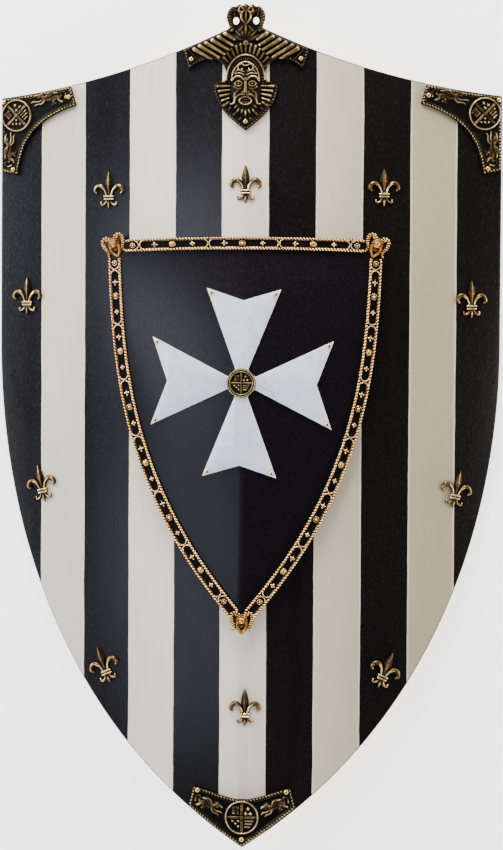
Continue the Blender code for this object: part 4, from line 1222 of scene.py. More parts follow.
@dataclass
class Cross:
    """White enamelled cross with four forked arms."""

    centre: Point = (-1.3, 38.4)
    seat: float = ON_PANEL
    face: float = 12.0
    turn: float = radians(-1.2)
    upright: tuple[float, float, float] = (80.0, 31.4, 10.0)
    arm: tuple[float, float, float] = (76.5, 37.7, 13.5)
    waist: Point = (11.5, 5.4)
    tip_to_nail: float = 6.0
    arris: float = 0.7

    def place(self, along: float, across: float, quarter: int) -> Point:
        """Give a point of an arm on the board, quarter 0 being the right arm."""
        turn = quarter * pi / 2 + self.turn
        return (self.centre[0] + along * cos(turn) - across * sin(turn),
                self.centre[1] + along * sin(turn) + across * cos(turn))

    def sizes(self, quarter: int) -> tuple[float, float, float]:
        """Give an arm's length, half the width of its end and the depth of its fork."""
        return self.upright if quarter % 2 else self.arm

    def nails(self) -> list[Point]:
        """Give the places of the nails in the eight points."""
        places = []
        for quarter in range(4):
            length, half, fork = self.sizes(quarter)
            flank = Vector((self.waist[0] - length, self.waist[1] - half)).normalized()
            end = Vector((-fork, -half)).normalized()
            inward = (flank + end).normalized() * self.tip_to_nail
            for side in (1, -1):
                places.append(self.place(length + inward.x, side * (half + inward.y), quarter))
        return places

    def build(self, finishes: Finishes) -> None:
        """Build and dress the cross."""
        outline: list[Point] = []
        for quarter in range(4):
            length, half, fork = self.sizes(quarter)
            for along, across in ((self.waist[0], -self.waist[1]), (length, -half),
                                  (length - fork, 0.0), (length, half), self.waist):
                outline.append(self.place(along, across, quarter))
        cross = slab("white_cross", outline, self.seat, self.face, self.arris)
        finished(cross, BEND.lay, radians(30))
        settle(cross, (finishes.enamel,), "white_paint", "cross")


# Border strips, knots and medallion

@dataclass
class Border:
    """Three cast strips round the panel: roped edges, arched cells, bosses and small flowers."""

    seat: float = ON_PANEL
    floor: float = 1.1
    relief: float = 2.0
    half: float = 5.3
    knot_room: float = 10.3
    first_bar: float = 20.0
    last_bar: float = 29.1
    growth: float = 1.2
    side_cells: int = 6
    top_end_bar: float = 11.4
    top_cells: int = 3
    cell: float = 0.36

    def side_bars(self, length: float) -> list[float]:
        """Give the places of the bars between the cells of a side strip."""
        pitch = (length - self.first_bar - self.last_bar) / self.side_cells
        bars = [self.first_bar]
        for index in range(self.side_cells):
            bars.append(bars[-1] + pitch + (index - (self.side_cells - 1) / 2) * self.growth)
        return bars

    def ornament(self, relief: Relief, bars: Sequence[float], nailed: Callable[[int], bool],
                 start: float, end: float) -> list[float]:
        """Draw the rims, cells, bosses and flowers of a straight strip.

        Args:
            relief: the strip's height map.
            bars: places of the bars between the cells.
            nailed: tells whether the boss of a cell is a nail.
            start: start of the strip.
            end: its end.

        Returns:
            The places of the nails.
        """
        base = self.seat + self.floor
        rise = self.relief
        for side in (1, -1):
            relief.stroke([(start, side * 4.35), (end, side * 4.35)], 0.85, rise, base, twist=2.6)
            relief.stroke([(start, side * 3.25), (end, side * 3.25)], 0.38, 0.6 * rise, base)
        for bar in bars:
            for side in (1, -1):
                relief.ring((bar - side * 4.0, 0), 3.5, 0.55, 0.9 * rise, base,
                            start=90 - side * 165, end=90 - side * 15)
        sites = []
        for index, (near, far) in enumerate(zip(bars, bars[1:])):
            pitch = far - near
            boss = (near + 0.48 * pitch, 0.0)
            relief.ring(boss, 2.25, 0.5, 0.75 * rise, base)
            if nailed(index):
                sites.append(boss[0])
                relief.knob(boss, 1.8, 0.8, base, flat=0.7)
            else:
                relief.knob(boss, 1.6, rise, base)
            self.fleur(relief, near + 0.22 * pitch, base)
            flower = near + 0.77 * pitch
            for u, v in ((1.25, 0), (-1.25, 0), (0, 1.25), (0, -1.25)):
                relief.knob((flower + u, v), 1.0, 0.75 * rise, base)
            relief.knob((flower, 0), 0.7, rise, base)
        for spot in (bars[0] - 5.6, bars[-1] + 5.6):
            relief.ring((spot, 0), 1.9, 0.5, 0.8 * rise, base)
            relief.knob((spot, 0), 1.1, rise, base)
        return sites

    def fleur(self, relief: Relief, spot: float, base: float) -> None:
        """Draw one small flower with a long middle petal across the strip's length."""
        rise = 0.8 * self.relief
        relief.stroke([(spot - 2.3, 0), (spot + 2.4, 0)], [0.35, 0.85], rise, base, ridge=0.4)
        for side in (1, -1):
            relief.stroke([(spot - 0.6, 0), (spot + 0.6, side * 1.5), (spot - 0.5, side * 2.3)],
                          [0.6, 0.6, 0.35], rise, base)

    def strip(self, name: str, node: str, line: Path, side: Side, start: float, end: float,
              bars: Sequence[float], nailed: Callable[[int], bool],
              finishes: Finishes) -> list[Point]:
        """Make one strip along a line.

        Args:
            name: name of the strip.
            node: solid that it stands for.
            line: its middle line.
            side: half of the shield.
            start: distance along the line where it starts.
            end: distance where it ends.
            bars: places of the bars between the cells.
            nailed: tells whether the boss of a cell is a nail.
            finishes: the finishes.

        Returns:
            The places of its nails on the board.
        """
        relief = Relief((start - 0.4, -self.half - 0.4), (end + 0.4, self.half + 0.4), self.cell,
                        self.seat + self.floor)
        sites = self.ornament(relief, bars, nailed, start, end)
        relief.grit(0.05, 0.7, self.seat + self.floor + 0.3, 7)
        relief.soften()
        outline = [(start, -self.half), (end, -self.half), (end, self.half), (start, self.half)]
        strip = relief.cast(name, self.seat, [outline], 0.25, lambda flat: line.mapped(flat, side))
        finished(strip, BEND.lay, pi)
        settle(strip, (finishes.gilt,), "gilt_brass", node)
        places = line.at(np.array(sites))[0]
        return [(u * side.value, v) for u, v in places]

    def make(self, finishes: Finishes) -> list[Point]:
        """Make all three strips; returns the places of their nails in the solids' order."""
        line = BORDER.side_line()
        bars = self.side_bars(line.length)
        places = []
        for side, word in ((Side.RIGHT, "right"), (Side.LEFT, "left")):
            places += self.strip(f"{word}_border_strip", f"{word}_strip", line, side,
                                 self.knot_room, line.length - self.knot_room, bars,
                                 lambda index: index % 2 == 1, finishes)
        top = BORDER.top_line(BORDER.half_width - self.knot_room)
        bars = list(np.linspace(self.top_end_bar, top.length - self.top_end_bar,
                                self.top_cells + 1))
        places += self.strip("top_border_strip", "top_strip", top, Side.RIGHT, 0.0, top.length,
                             bars, lambda index: index != 1, finishes)
        return places

    def build(self, finishes: Finishes) -> None:
        """Build and dress the strips, and note the places of their nails."""
        places = self.make(finishes)
        Nails.heads = {"strip": (places, self.seat + self.floor + 0.8)}


@dataclass
class Knots:
    """Small castings over the border's corners: a maned beast's head in two curled loops."""

    seat: float = ON_PANEL
    half: float = 10.0
    cell: float = 0.3

    def draw(self) -> Relief:
        """Draw one knot about its own middle."""
        relief = Relief((-11, -11), (11, 11), self.cell, self.seat + 0.4)
        base = self.seat + 0.5
        relief.knob((0, 0.5), 5.2, 1.2, base, flat=0.5)
        loop = smooth_line(((1.2, 3.4), (4.4, 8.2), (8.4, 7.0), (8.6, 1.6), (6.4, -3.2),
                            (7.6, -6.2)))
        relief.pair(loop, list(np.linspace(2.3, 1.2, len(loop))), 2.1, base=base, twist=1.9)
        foot = smooth_line(((0.4, -8.9), (3.0, -5.2), (3.8, -1.4), (1.6, 1.0)))
        relief.pair(foot, list(np.linspace(1.1, 2.1, len(foot))), 1.8, base=base, ridge=0.4)
        relief.pair([(3.4, -1.0), (4.6, -3.4), (4.2, -6.0)], [1.2, 1.0, 0.4], 1.5, base=base,
                    ridge=0.4)
        for turn in np.radians(np.linspace(-20, 200, 11)):
            relief.stroke(spoke((0.0, 2.2), turn, (1.9, 2.2), (4.9, 5.4)), [0.95, 0.35], 1.9, base,
                          ridge=0.5)
        relief.knob((0, 1.8), 2.5, 1.9, base + 0.7, squash=1.15)
        relief.pair([(0.5, 3.3), (1.9, 3.6)], [0.45, 0.3], 0.5, base=base + 2.1)
        relief.stroke([(0, 3.0), (0, 0.6)], [0.45, 0.85], 0.7, base + 2.1)
        relief.pair([(0.2, 0.0), (1.5, -0.5)], [0.5, 0.25], 0.6, base=base + 1.9)
        relief.pair([(5.0, 6.6), (6.6, 8.8)], [0.9, 0.4], 1.5, base=base + 0.4)
        relief.height = np.minimum(relief.height, self.seat + 3.8)
        relief.soften()
        return relief

    def build(self, finishes: Finishes) -> None:
        """Build and dress the three knots."""
        first = self.draw().cast("knot", self.seat, None, 0.3)
        corner = BORDER.top - BORDER.arch
        places = (("left", -BORDER.half_width, corner, radians(20)),
                  ("right", BORDER.half_width, corner, radians(-20)),
                  ("bottom", 0.0, -BORDER.tip, 0.0))
        for word, u, v, turn in places:
            knot = copied(first, f"{word}_corner_knot")
            finished(knot, BEND.stand(u, v, 0.0, turn), pi)
            settle(knot, (finishes.coppery,), "gilt_brass", f"{word}_knot")
        bpy.data.objects.remove(first)


def roundel(relief: Relief, centre: Point, radius: float, turn: float, base: float,
            rise: float) -> None:
    """Draw a quartered roundel: tower, crosses, chequers and waves.

    Args:
        relief: the casting's height map.
        centre: middle of the roundel.
        radius: its radius.
        turn: turn of its quartering.
        base: height of its ground.
        rise: height of its forms above the ground.
    """
    unit = radius / 14

    def at(along: float, across: float) -> Point:
        """Turn a point of the roundel's own drawing."""
        along, across = along * unit, across * unit
        return (centre[0] + along * cos(turn) - across * sin(turn),
                centre[1] + along * sin(turn) + across * cos(turn))

    relief.ring(centre, radius - 0.75 * unit, 0.75 * unit, rise, base)
    for offset in (0.55, -0.55):
        relief.stroke([at(-12.4, offset), at(12.4, offset)], 0.42 * unit, 0.85 * rise, base)
        relief.stroke([at(offset, -12.4), at(offset, 12.4)], 0.42 * unit, 0.85 * rise, base)
    tower = [at(*corner) for corner in ((-7.2, 2.2), (-2.6, 2.2), (-2.6, 7.6), (-7.2, 7.6))]
    relief.field(tower, 0.55 * rise, 0.5, base)
    for along in (-7.2, -5.7, -4.2, -2.7):
        relief.stroke([at(along, 7.2), at(along, 8.8)], 0.5 * unit, 0.8 * rise, base)
    for across in (3.6, 5.4):
        relief.stroke([at(-7.6, across), at(-2.2, across)], 0.4 * unit, 0.8 * rise, base)
    for along, across in ((3.3, 3.2), (7.3, 3.2), (5.3, 7.2)):
        for ends in ((at(along - 1.3, across), at(along + 1.3, across)),
                     (at(along, across - 1.4), at(along, across + 1.4))):
            relief.stroke(ends, 0.5 * unit, 0.8 * rise, base)
        relief.knob(at(along, across), 0.8 * unit, rise, base)
    for row in range(3):
        for column in range(3):
            if (row + column) % 2 == 0 and row + column < 4:
                relief.knob(at(-2.8 - 2.3 * column, -2.8 - 2.3 * row), 1.15 * unit, 0.75 * rise,
                            base, flat=0.4)
    for row in range(3):
        across = -2.9 - 2.4 * row
        reach = 9.6 - 1.4 * row
        steps = np.linspace(2.4, reach, 9)
        relief.stroke([at(along, across + (0.65 if i % 2 else -0.65)) for i, along in
                       enumerate(steps)], 0.42 * unit, 0.75 * rise, base)


def griffin(relief: Relief, start: Point, end: Point, height: float, flip: int, base: float,
            rise: float) -> None:
    """Draw a crouching griffin that walks from start towards end.

    Args:
        relief: the casting's height map.
        start: its tail end.
        end: its beak.
        height: height of the beast across its way.
        flip: 1 or -1, the side on which its wings stand.
        base: height of the ground.
        rise: height of its body above the ground.
    """
    length = hypot(end[0] - start[0], end[1] - start[1])
    way = ((end[0] - start[0]) / length, (end[1] - start[1]) / length)
    step, climb = length / 30, height / 14 * flip
    size = 1.3 * min(step, abs(climb))

    def draw(path: Sequence[Point], halves: Sequence[float], share: float = 1.0,
             ridge: float = 0.2) -> None:
        """Draw one stroke of the beast."""
        spots = [(start[0] + u * step * way[0] - v * climb * way[1],
                  start[1] + u * step * way[1] + v * climb * way[0])
                 for u, v in smooth_line(path, 4)]
        widths = np.interp(np.linspace(0, 1, len(spots)), np.linspace(0, 1, len(halves)), halves)
        relief.stroke(spots, list(widths * size), share * rise, base, ridge=ridge)

    draw(((0.6, -1.6), (-0.2, 3.2), (2.6, 5.4), (4.4, 3.0), (3.4, 1.0), (6.5, -0.4)),
         (0.9, 0.5, 0.5, 0.5, 0.6, 1.0), 0.8)
    draw(((5.5, -0.6), (9, 0.2), (14, -0.6), (18.5, 0.6)), (1.9, 2.6, 1.9, 2.3), 0.9, 0.0)
    for index in range(4):
        reach = index * 1.9
        draw(((16.8 - reach * 0.5, 1.6), (13.6 - reach, 5.6 - index * 0.3),
              (9.2 - reach * 0.7, 6.8 - index * 1.1)), (0.9, 0.75, 0.3))
    draw(((18, 0.8), (20.5, 3.2), (23.4, 4.0)), (2.1, 1.8, 1.5), 1.0, 0.0)
    draw(((23, 4.2), (26.2, 4.0), (27.6, 2.4)), (1.5, 0.9, 0.25))
    mane = ((19.0, 7.0), (20.8, 7.4), (22.6, 7.2), (21.6, -0.6), (23.4, 0.4), (24.9, 1.4))
    for index, (u, v) in enumerate(mane):
        draw(((21.4 + 0.2 * index, 3.4), ((21.4 + u) / 2, (3.4 + v) / 2), (u, v)),
             (0.7, 0.6, 0.25))
    draw(((18.6, -0.4), (22.6, -2.2), (27.0, -1.4), (29.4, -2.6)), (1.2, 0.9, 0.7, 0.4))
    draw(((17.6, -1.2), (20.4, -4.4), (24.6, -4.6), (26.6, -6.0)), (1.2, 0.9, 0.7, 0.4))
    draw(((8, -0.8), (10.6, -3.4), (8.4, -5.6), (12.0, -6.4)), (1.9, 1.3, 0.7, 0.5))
    draw(((6.6, -0.8), (4.8, -3.8), (3.0, -5.2), (5.8, -6.4)), (1.7, 1.2, 0.7, 0.4))


@dataclass
class Medallion:
    """Small bronze medallion over the middle of the cross."""

    centre: Point = (-1.3, 38.4)
    seat: float = 12.3
    radius: float = 12.4
    cell: float = 0.28

    def build(self, finishes: Finishes) -> None:
        """Build and dress the medallion."""
        reach = self.radius + 0.5
        relief = Relief((-reach, -reach), (reach, reach), self.cell, self.seat + 1.1)
        base = self.seat + 1.1
        relief.ring((0, 0), self.radius - 0.95, 0.85, 1.3, base, bead=1.3)
        roundel(relief, (0, 0), self.radius - 2.0, 0.0, base, 1.2)
        relief.grit(0.05, 0.6, base + 0.2, 3)
        relief.soften()
        outline = oval((0.0, 0.0), self.radius, self.radius, 72)
        medallion = relief.cast("quartered_medallion", self.seat, [outline], 0.4)
        finished(medallion, BEND.stand(*self.centre, 0.0), pi)
        settle(medallion, (finishes.bronze,), "antique_brass", "medallion")


# Cast plates

@dataclass
class Plate:
    """What the cast plates share: their ground, the rope round them and their nails."""

    seat: float = SEAT_GAP
    ground: float = 1.5
    rise: float = 2.1
    rope_half: float = 1.05
    rope_in: float = 1.25
    cell: float = 0.4
    pad: float = 3.1

    @property
    def base(self) -> float:
        """Height of the plate's bare ground."""
        return self.seat + self.ground

    def start(self, outline: Sequence[Point]) -> Relief:
        """Lay out the relief of a plate and draw its rope."""
        spots = np.array(outline)
        relief = Relief(tuple(spots.min(axis=0) - 0.8), tuple(spots.max(axis=0) + 0.8), self.cell,
                        self.base)
        line = inset(outline, self.rope_in)
        relief.stroke(line + line[:1], self.rope_half, self.rise - 0.4, self.base, twist=2.7)
        inner = inset(outline, 2 * self.rope_in + 0.45)
        relief.stroke(inner + inner[:1], 0.42, 0.6 * self.rise, self.base)
        return relief

    def finish(self, relief: Relief, name: str, node: str, outlines: Sequence[Sequence[Point]],
               nails: Sequence[Point], finishes: Finishes) -> None:
        """Seat the nails, cast the plate and dress it.

        Args:
            relief: the drawn relief.
            name: name of the plate.
            node: solid that it stands for.
            outlines: its outline and its piercings.
            nails: places of its nails.
            finishes: the finishes.
        """
        for place in nails:
            relief.knob(place, 2.3, self.pad - self.ground, self.base, flat=0.75)
        relief.grit(0.07, 0.9, self.base + 0.3, 11)
        relief.soften()
        plate = relief.cast(name, self.seat, outlines)
        finished(plate, BEND.lay, pi)
        finish = finishes.antique if node == "crest_plate" else finishes.dark_antique
        settle(plate, (finish,), "antique_brass", node)
        Nails.heads[node] = (list(nails), self.seat + self.pad)


def inset(outline: Sequence[Point], distance: float) -> list[Point]:
    """Move a closed outline inward.

    Args:
        outline: the closed outline.
        distance: how far inward.

    Returns:
        The moved outline, its corners still sharp.
    """
    spots = np.array(outline, dtype=float)
    before, after = np.roll(spots, 1, axis=0), np.roll(spots, -1, axis=0)
    turn = np.sign(np.sum(before[:, 0] * spots[:, 1] - spots[:, 0] * before[:, 1]))
    first = (spots - before) / np.linalg.norm(spots - before, axis=1)[:, None]
    second = (after - spots) / np.linalg.norm(after - spots, axis=1)[:, None]
    normal1 = np.column_stack((-first[:, 1], first[:, 0]))
    normal2 = np.column_stack((-second[:, 1], second[:, 0]))
    spread = np.maximum(1 + np.sum(normal1 * normal2, axis=1), 0.5)[:, None]
    return [tuple(row) for row in spots + turn * distance * (normal1 + normal2) / spread]


@dataclass
class CrestPlate(Plate):
    """Plate on the peak: a grotesque mask in a headdress, winged bars and a crown ornament."""

    half_width: float = 53.4
    height: float = 108.0

    def outline(self) -> list[Point]:
        """Give the plate's outline, its chin at v = 0."""
        chin = BOARD.top - self.height
        edge = [(u, BOARD.top_edge(u) - BOARD.edge_margin - chin)
                for u in np.linspace(14.4, self.half_width, 9)]
        crown = smooth_line(((0, 107.6), (2.6, 105.4), (5.6, 106.6), (8.4, 104.6), (12.0, 104.4),
                             (15.4, 100.4), (16.5, 95.0), (14.6, 88.6), (13.4, 84.4)), 3)[:-1]
        wing = [(50.8, 60.0), (48.3, 52.0)] + smooth_line(
            ((48.3, 52), (40, 58.0), (29, 60.4), (20.6, 57.2), (16.6, 50.2), (16.2, 44.6)),
            3)[1:-1]
        beard = [(16.2, 44.6), (18, 41.8), (27.3, 38.6)] + smooth_line(
            ((27.3, 38.6), (25.9, 30.0), (20.9, 19.4), (11.4, 9.2), (0, 0)), 3)[1:]
        right = crown + edge + wing + beard
        return [(u, chin + v) for u, v in both_halves(right)]

    def build(self, finishes: Finishes) -> None:
        """Build and dress the plate."""
        outline = self.outline()
        relief = self.start(outline)
        self.wings(relief)
        self.headdress(relief)
        self.face(relief)
        self.beard(relief)
        self.crown(relief)
        piercings = [oval((side * 8.5, self.up(92.6)), 2.5, 3.1, 24) for side in (1, -1)]
        nails = [(46.5, self.up(60.6)), (-46.5, self.up(60.6)), (0.0, self.up(7.6))]
        self.finish(relief, "crest_mask_plate", "crest_plate", [outline] + piercings, nails,
                    finishes)

    def up(self, v: float) -> float:
        """Give the height on the board of a height above the chin."""
        return BOARD.top - self.height + v

    def both(self, relief: Relief, path: Sequence[Point], halves: Sequence[float] | float,
             rise: float, level: float = 0.0, **ways: float) -> None:
        """Draw a stroke above the chin and its mirror image.

        Args:
            relief: the plate's height map.
            path: its middle line, heights above the chin.
            halves: half its width.
            rise: its height.
            level: height of its foot above the plate's ground.
            ways: its ridge, twist or bead.
        """
        relief.pair([(u, self.up(v)) for u, v in path], halves, rise,
                    base=self.base + level, **ways)

    def wings(self, relief: Relief) -> None:
        """Draw the bars that fan out over the wings."""
        ends = ((17.4, 81.4), (22.8, 78.6), (28.2, 76.0), (33.6, 73.6), (39.0, 71.2), (43.6, 68.8))
        lengths = (9.0, 13.0, 16.0, 18.0, 18.5, 16.5)
        for (u, v), length in zip(ends, lengths):
            foot = (u - 0.86 * length, v - 0.51 * length)
            self.both(relief, (foot, (u, v)), (1.6, 2.35), 3.2, ridge=0.05)
        self.both(relief, ((41.2, 59.8), (47.8, 67.4)), 0.6, 1.4)
        self.both(relief, ((22, 59.8), (30, 63.0), (38, 60.8)), 0.55, 1.3)

    def headdress(self, relief: Relief) -> None:
        """Draw the feathers and the two arches over the brow."""
        base = self.base
        centre = (0.0, self.up(43.0))
        for turn in np.radians(np.linspace(-4, 184, 19)):
            relief.stroke(spoke(centre, turn, (16.8, 21.336), (23.4, 29.718)), [0.9, 1.8], 2.1,
                          base, ridge=0.25)
        for radius, half, rise in ((16.2, 1.1, 2.6), (11.6, 0.9, 3.0)):
            relief.ring(centre, radius, half, rise, base, 1.28, 0, 180)
        for turn in np.radians(np.linspace(6, 174, 23)):
            relief.stroke(spoke(centre, turn, (12.9, 16.512), (14.8, 18.944)), 0.5, 2.2, base)
        self.both(relief, smooth_line(((0.6, 54.6), (4.2, 56.2), (6.6, 53.4), (4.6, 50.6),
                                       (2.6, 52.2))), 0.75, 3.3)
        self.both(relief, smooth_line(((2.0, 49.6), (6.4, 51.0), (9.6, 48.0))), 0.8, 3.2)

    def face(self, relief: Relief) -> None:
        """Draw the mask's face, a grotesque of the maker's own."""
        base = self.base
        relief.knob((0, self.up(34.5)), 13.2, 2.6, base, squash=1.36, flat=0.25)
        self.both(relief, smooth_line(((1.0, 42.4), (4.4, 45.4), (8.6, 45.2), (11.6, 42.0))),
                  (1.0,) * 19, 1.5, 2.2, ridge=0.2)
        self.both(relief, smooth_line(((1.2, 46.6), (5.0, 48.4), (9.4, 47.4))), 0.6, 1.2, 2.0)
        for side in (1, -1):
            eye = (side * 5.9, self.up(39.3))
            relief.ring(eye, 2.9, 0.55, 1.3, base + 2.2, 0.72)
            relief.knob(eye, 1.35, 1.4, base + 2.1, squash=0.8)
        self.both(relief, smooth_line(((3.4, 35.6), (6.4, 34.8), (9.6, 36.8))), 0.55, 0.9, 2.2)
        relief.stroke([(0, self.up(44.0)), (0, self.up(36.5)), (0, self.up(32.4))],
                      [0.8, 1.2, 1.9], 1.6, base + 2.5, ridge=0.5)
        self.both(relief, ((0.9, 32.2), (2.7, 31.9)), (1.1, 0.9), 1.3, 2.2)
        self.both(relief, smooth_line(((6.2, 33.2), (8.6, 31.0), (8.8, 27.6))), 1.3, 1.3, 1.8)
        self.both(relief, smooth_line(((0.8, 29.9), (5.2, 30.0), (8.8, 26.6), (10.2, 22.8),
                                       (12.8, 22.6))), list(np.linspace(0.95, 0.45, 25)), 1.4, 2.1)
        relief.sink(oval((0.0, self.up(25.0)), 5.0, 3.0, 24), base + 1.2)
        relief.ring((0, self.up(25.0)), 5.0, 0.7, 1.3, base + 2.0, 0.62)
        for row in (26.1, 23.8):
            for u in (-2.7, -0.9, 0.9, 2.7):
                relief.knob((u, self.up(row)), 0.8, 1.5, base + 1.2, squash=1.1, flat=0.3)

    def beard(self, relief: Relief) -> None:
        """Draw the leaf rays of the beard, the blocks along it and the bars beside the face."""
        base = self.base
        for index in range(-4, 5):
            turn = radians(-90 + index * 17)
            near, far = (7.2, 13.0) if index % 2 else (7.8, 14.4)
            ray = spoke((0.0, self.up(27.5)), turn, (near, 1.1 * near), (far, 1.1 * far))
            relief.stroke(with_middle(ray), [0.7, 1.35, 0.3], 2.4, base, ridge=0.3)
        for u, v in ((5.0, 9.4), (9.6, 13.6), (13.9, 18.2), (17.4, 23.4)):
            self.both(relief, ((u - 0.7, v + 0.9), (u + 0.7, v - 0.7)), 1.15, 1.3)
        for index in range(5):
            self.both(relief, ((13.2 + 0.2 * index, 37.6 - 3.4 * index),
                               (23.6 - 1.3 * index, 36.0 - 4.0 * index + 1.2)), (1.0, 1.7), 2.4,
                      ridge=0.15)
        self.both(relief, ((14.4, 47.6), (14.0, 40.0)), 1.0, 2.0, twist=2.6)

    def crown(self, relief: Relief) -> None:
        """Draw the crown ornament: two plaited arms, scrolls and a fan of leaves."""
        base = self.base
        self.both(relief, smooth_line(((12.4, 84.6), (14.6, 92.6), (13.4, 99.6), (9.6, 103.0))),
                  2.6, 2.2, twist=2.4)
        self.both(relief, ((2.6, 87.6), (5.2, 84.2)), (1.2, 1.9), 2.0, ridge=0.2)
        self.both(relief, ((4.6, 97.6), (6.6, 100.4), (9.6, 101.4)), 1.2, 2.0, bead=1.6)
        self.both(relief, smooth_line(((1.2, 101.0), (4.4, 104.4), (6.0, 101.0), (3.6, 99.4))),
                  1.0, 2.6)
        self.both(relief, smooth_line(((0.6, 90.0), (3.8, 94.4), (3.6, 98.8), (1.0, 101.2))),
                  1.1, 2.4)
        relief.stroke([(0, self.up(84)), (0, self.up(94)), (0, self.up(106))], [1.8, 1.2, 1.9],
                      2.5, base, ridge=0.3)
        self.both(relief, ((8.6, 103.6), (5.6, 105.0)), (1.4, 0.8), 2.1)
        self.both(relief, ((11.0, 101.6), (9.6, 97.2)), (1.0, 0.7), 1.8)
        for index in range(-3, 4):
            turn = radians(90 + index * 21)
            leaf = spoke((0.0, self.up(74.5)), turn, (2.2, 2.4), (13.0, 12.5))
            relief.stroke(with_middle(leaf), [0.8, 2.1, 0.6], 2.3, base, ridge=0.4)
        relief.knob((0, self.up(73.6)), 3.0, 3.0, base)


@dataclass
class CornerPlate(Plate):
    """Plate over a top corner: a griffin in each arm and a quartered roundel between them."""

    side: Side = Side.RIGHT
    arm: float = 64.5
    leg: float = 62.0
    band: float = 16.0
    disc: float = 14.0

    def __init__(self, side: Side) -> None:
        """Choose the corner."""
        super().__init__()
        self.side = side

    def outline(self) -> list[Point]:
        """Give the right plate's outline."""
        outer = BOARD.half_arc - BOARD.edge_margin
        far = outer - self.arm
        top = [(u, BOARD.top_edge(u) - BOARD.edge_margin) for u in np.linspace(outer, far, 12)]
        leg = top[0][1] - self.leg
        arm_end = (far - 0.3 * self.band, top[-1][1] - self.band)
        leg_end = (outer - 0.95 * self.band, leg - 0.2 * self.band)
        pull = (arm_end[0] + 0.58 * self.arm, arm_end[1] - 0.18 * self.arm)
        press = (leg_end[0] - 0.07 * self.leg, leg_end[1] + 0.5 * self.leg)
        hollow = [bezier(arm_end, pull, press, leg_end, share) for share in np.linspace(0, 1, 24)]
        return top + hollow + [(outer, leg)]

    def build(self, finishes: Finishes) -> None:
        """Build and dress the plate."""
        outline = self.outline()
        spots = np.array(outline)
        outer, top = spots[0]
        far, leg = spots[11][0], spots[-1][1]
        centre = (outer - self.disc - 0.3, top - self.disc - 0.3)
        inner = (centre[0] - self.disc, centre[1] - self.disc)
        middle = spots[11][1] - self.band / 2
        across = outer - 0.48 * self.band
        nails = [(outer - 2.6, top - 2.6), (far + 1.6, spots[11][1] - 0.56 * self.band),
                 (outer - 0.95 * self.band + 3.6, leg + 1.2)]
        flip = self.side.value

        def turned_over(place: Point) -> Point:
            """Mirror a place for the left plate."""
            return (place[0] * flip, place[1])

        outline = [turned_over(place) for place in outline]
        relief = self.start(outline)
        base = self.base
        roundel(relief, turned_over(centre), self.disc, pi / 4, base, self.rise)
        height = 0.74 * self.band
        griffin(relief, turned_over((far + 4.4, middle - 0.4)),
                turned_over((inner[0] + 1.0, middle - 3.4)), height, flip, base, self.rise)
        griffin(relief, turned_over((across - 0.4, leg + 4.0)),
                turned_over((across, inner[1] + 1.0)), height, -flip, base, self.rise)
        word = "left" if self.side is Side.LEFT else "right"
        self.finish(relief, f"{word}_griffin_plate", f"{word}_corner_plate", [outline],
                    [turned_over(place) for place in nails], finishes)


@dataclass
class TipPlate(Plate):
    """Plate over the bottom tip: two griffins and a quartered roundel."""

    height: float = 51.0
    half: float = 47.5
    dip: float = 10.5
    disc: float = 14.6

    def build(self, finishes: Finishes) -> None:
        """Build and dress the plate."""
        edge = Path([BOARD.side_edge(share) for share in np.linspace(0.78, 1, 60)])
        lower = [tuple(row) for row in edge.offset(-BOARD.edge_margin, 60)
                 if BOARD.edge_margin < row[0] < self.half]
        tip = (0.0, -BOARD.top + BOARD.edge_margin / sin(BOARD.tip_half_angle))
        top = tip[1] + self.height
        hollow = smooth_line(((0, top - self.dip), (0.13 * self.half, top - 0.98 * self.dip),
                              (0.38 * self.half, top - 0.7 * self.dip),
                              (0.6 * self.half, top - 0.36 * self.dip),
                              (0.87 * self.half, top)), 3)
        outline = both_halves(hollow + lower[::3] + [tip])
        relief = self.start(outline)
        base = self.base
        centre = (0.0, top - self.dip - 1 - self.disc)
        roundel(relief, centre, self.disc, 0.0, base, self.rise)
        for side in (1, -1):
            griffin(relief, (side * 0.84 * self.half, top - 1.05 * self.dip),
                    (side * (self.disc + 0.6), centre[1] + 0.3 * self.disc), 11.5, -side, base,
                    self.rise)
        corner = (0.8 * self.half, top - 3.4)
        nails = [corner, (-corner[0], corner[1]), (0.0, tip[1] + 6.0)]
        self.finish(relief, "tip_griffin_plate", "tip_plate", [outline], nails, finishes)


# Lilies and nails

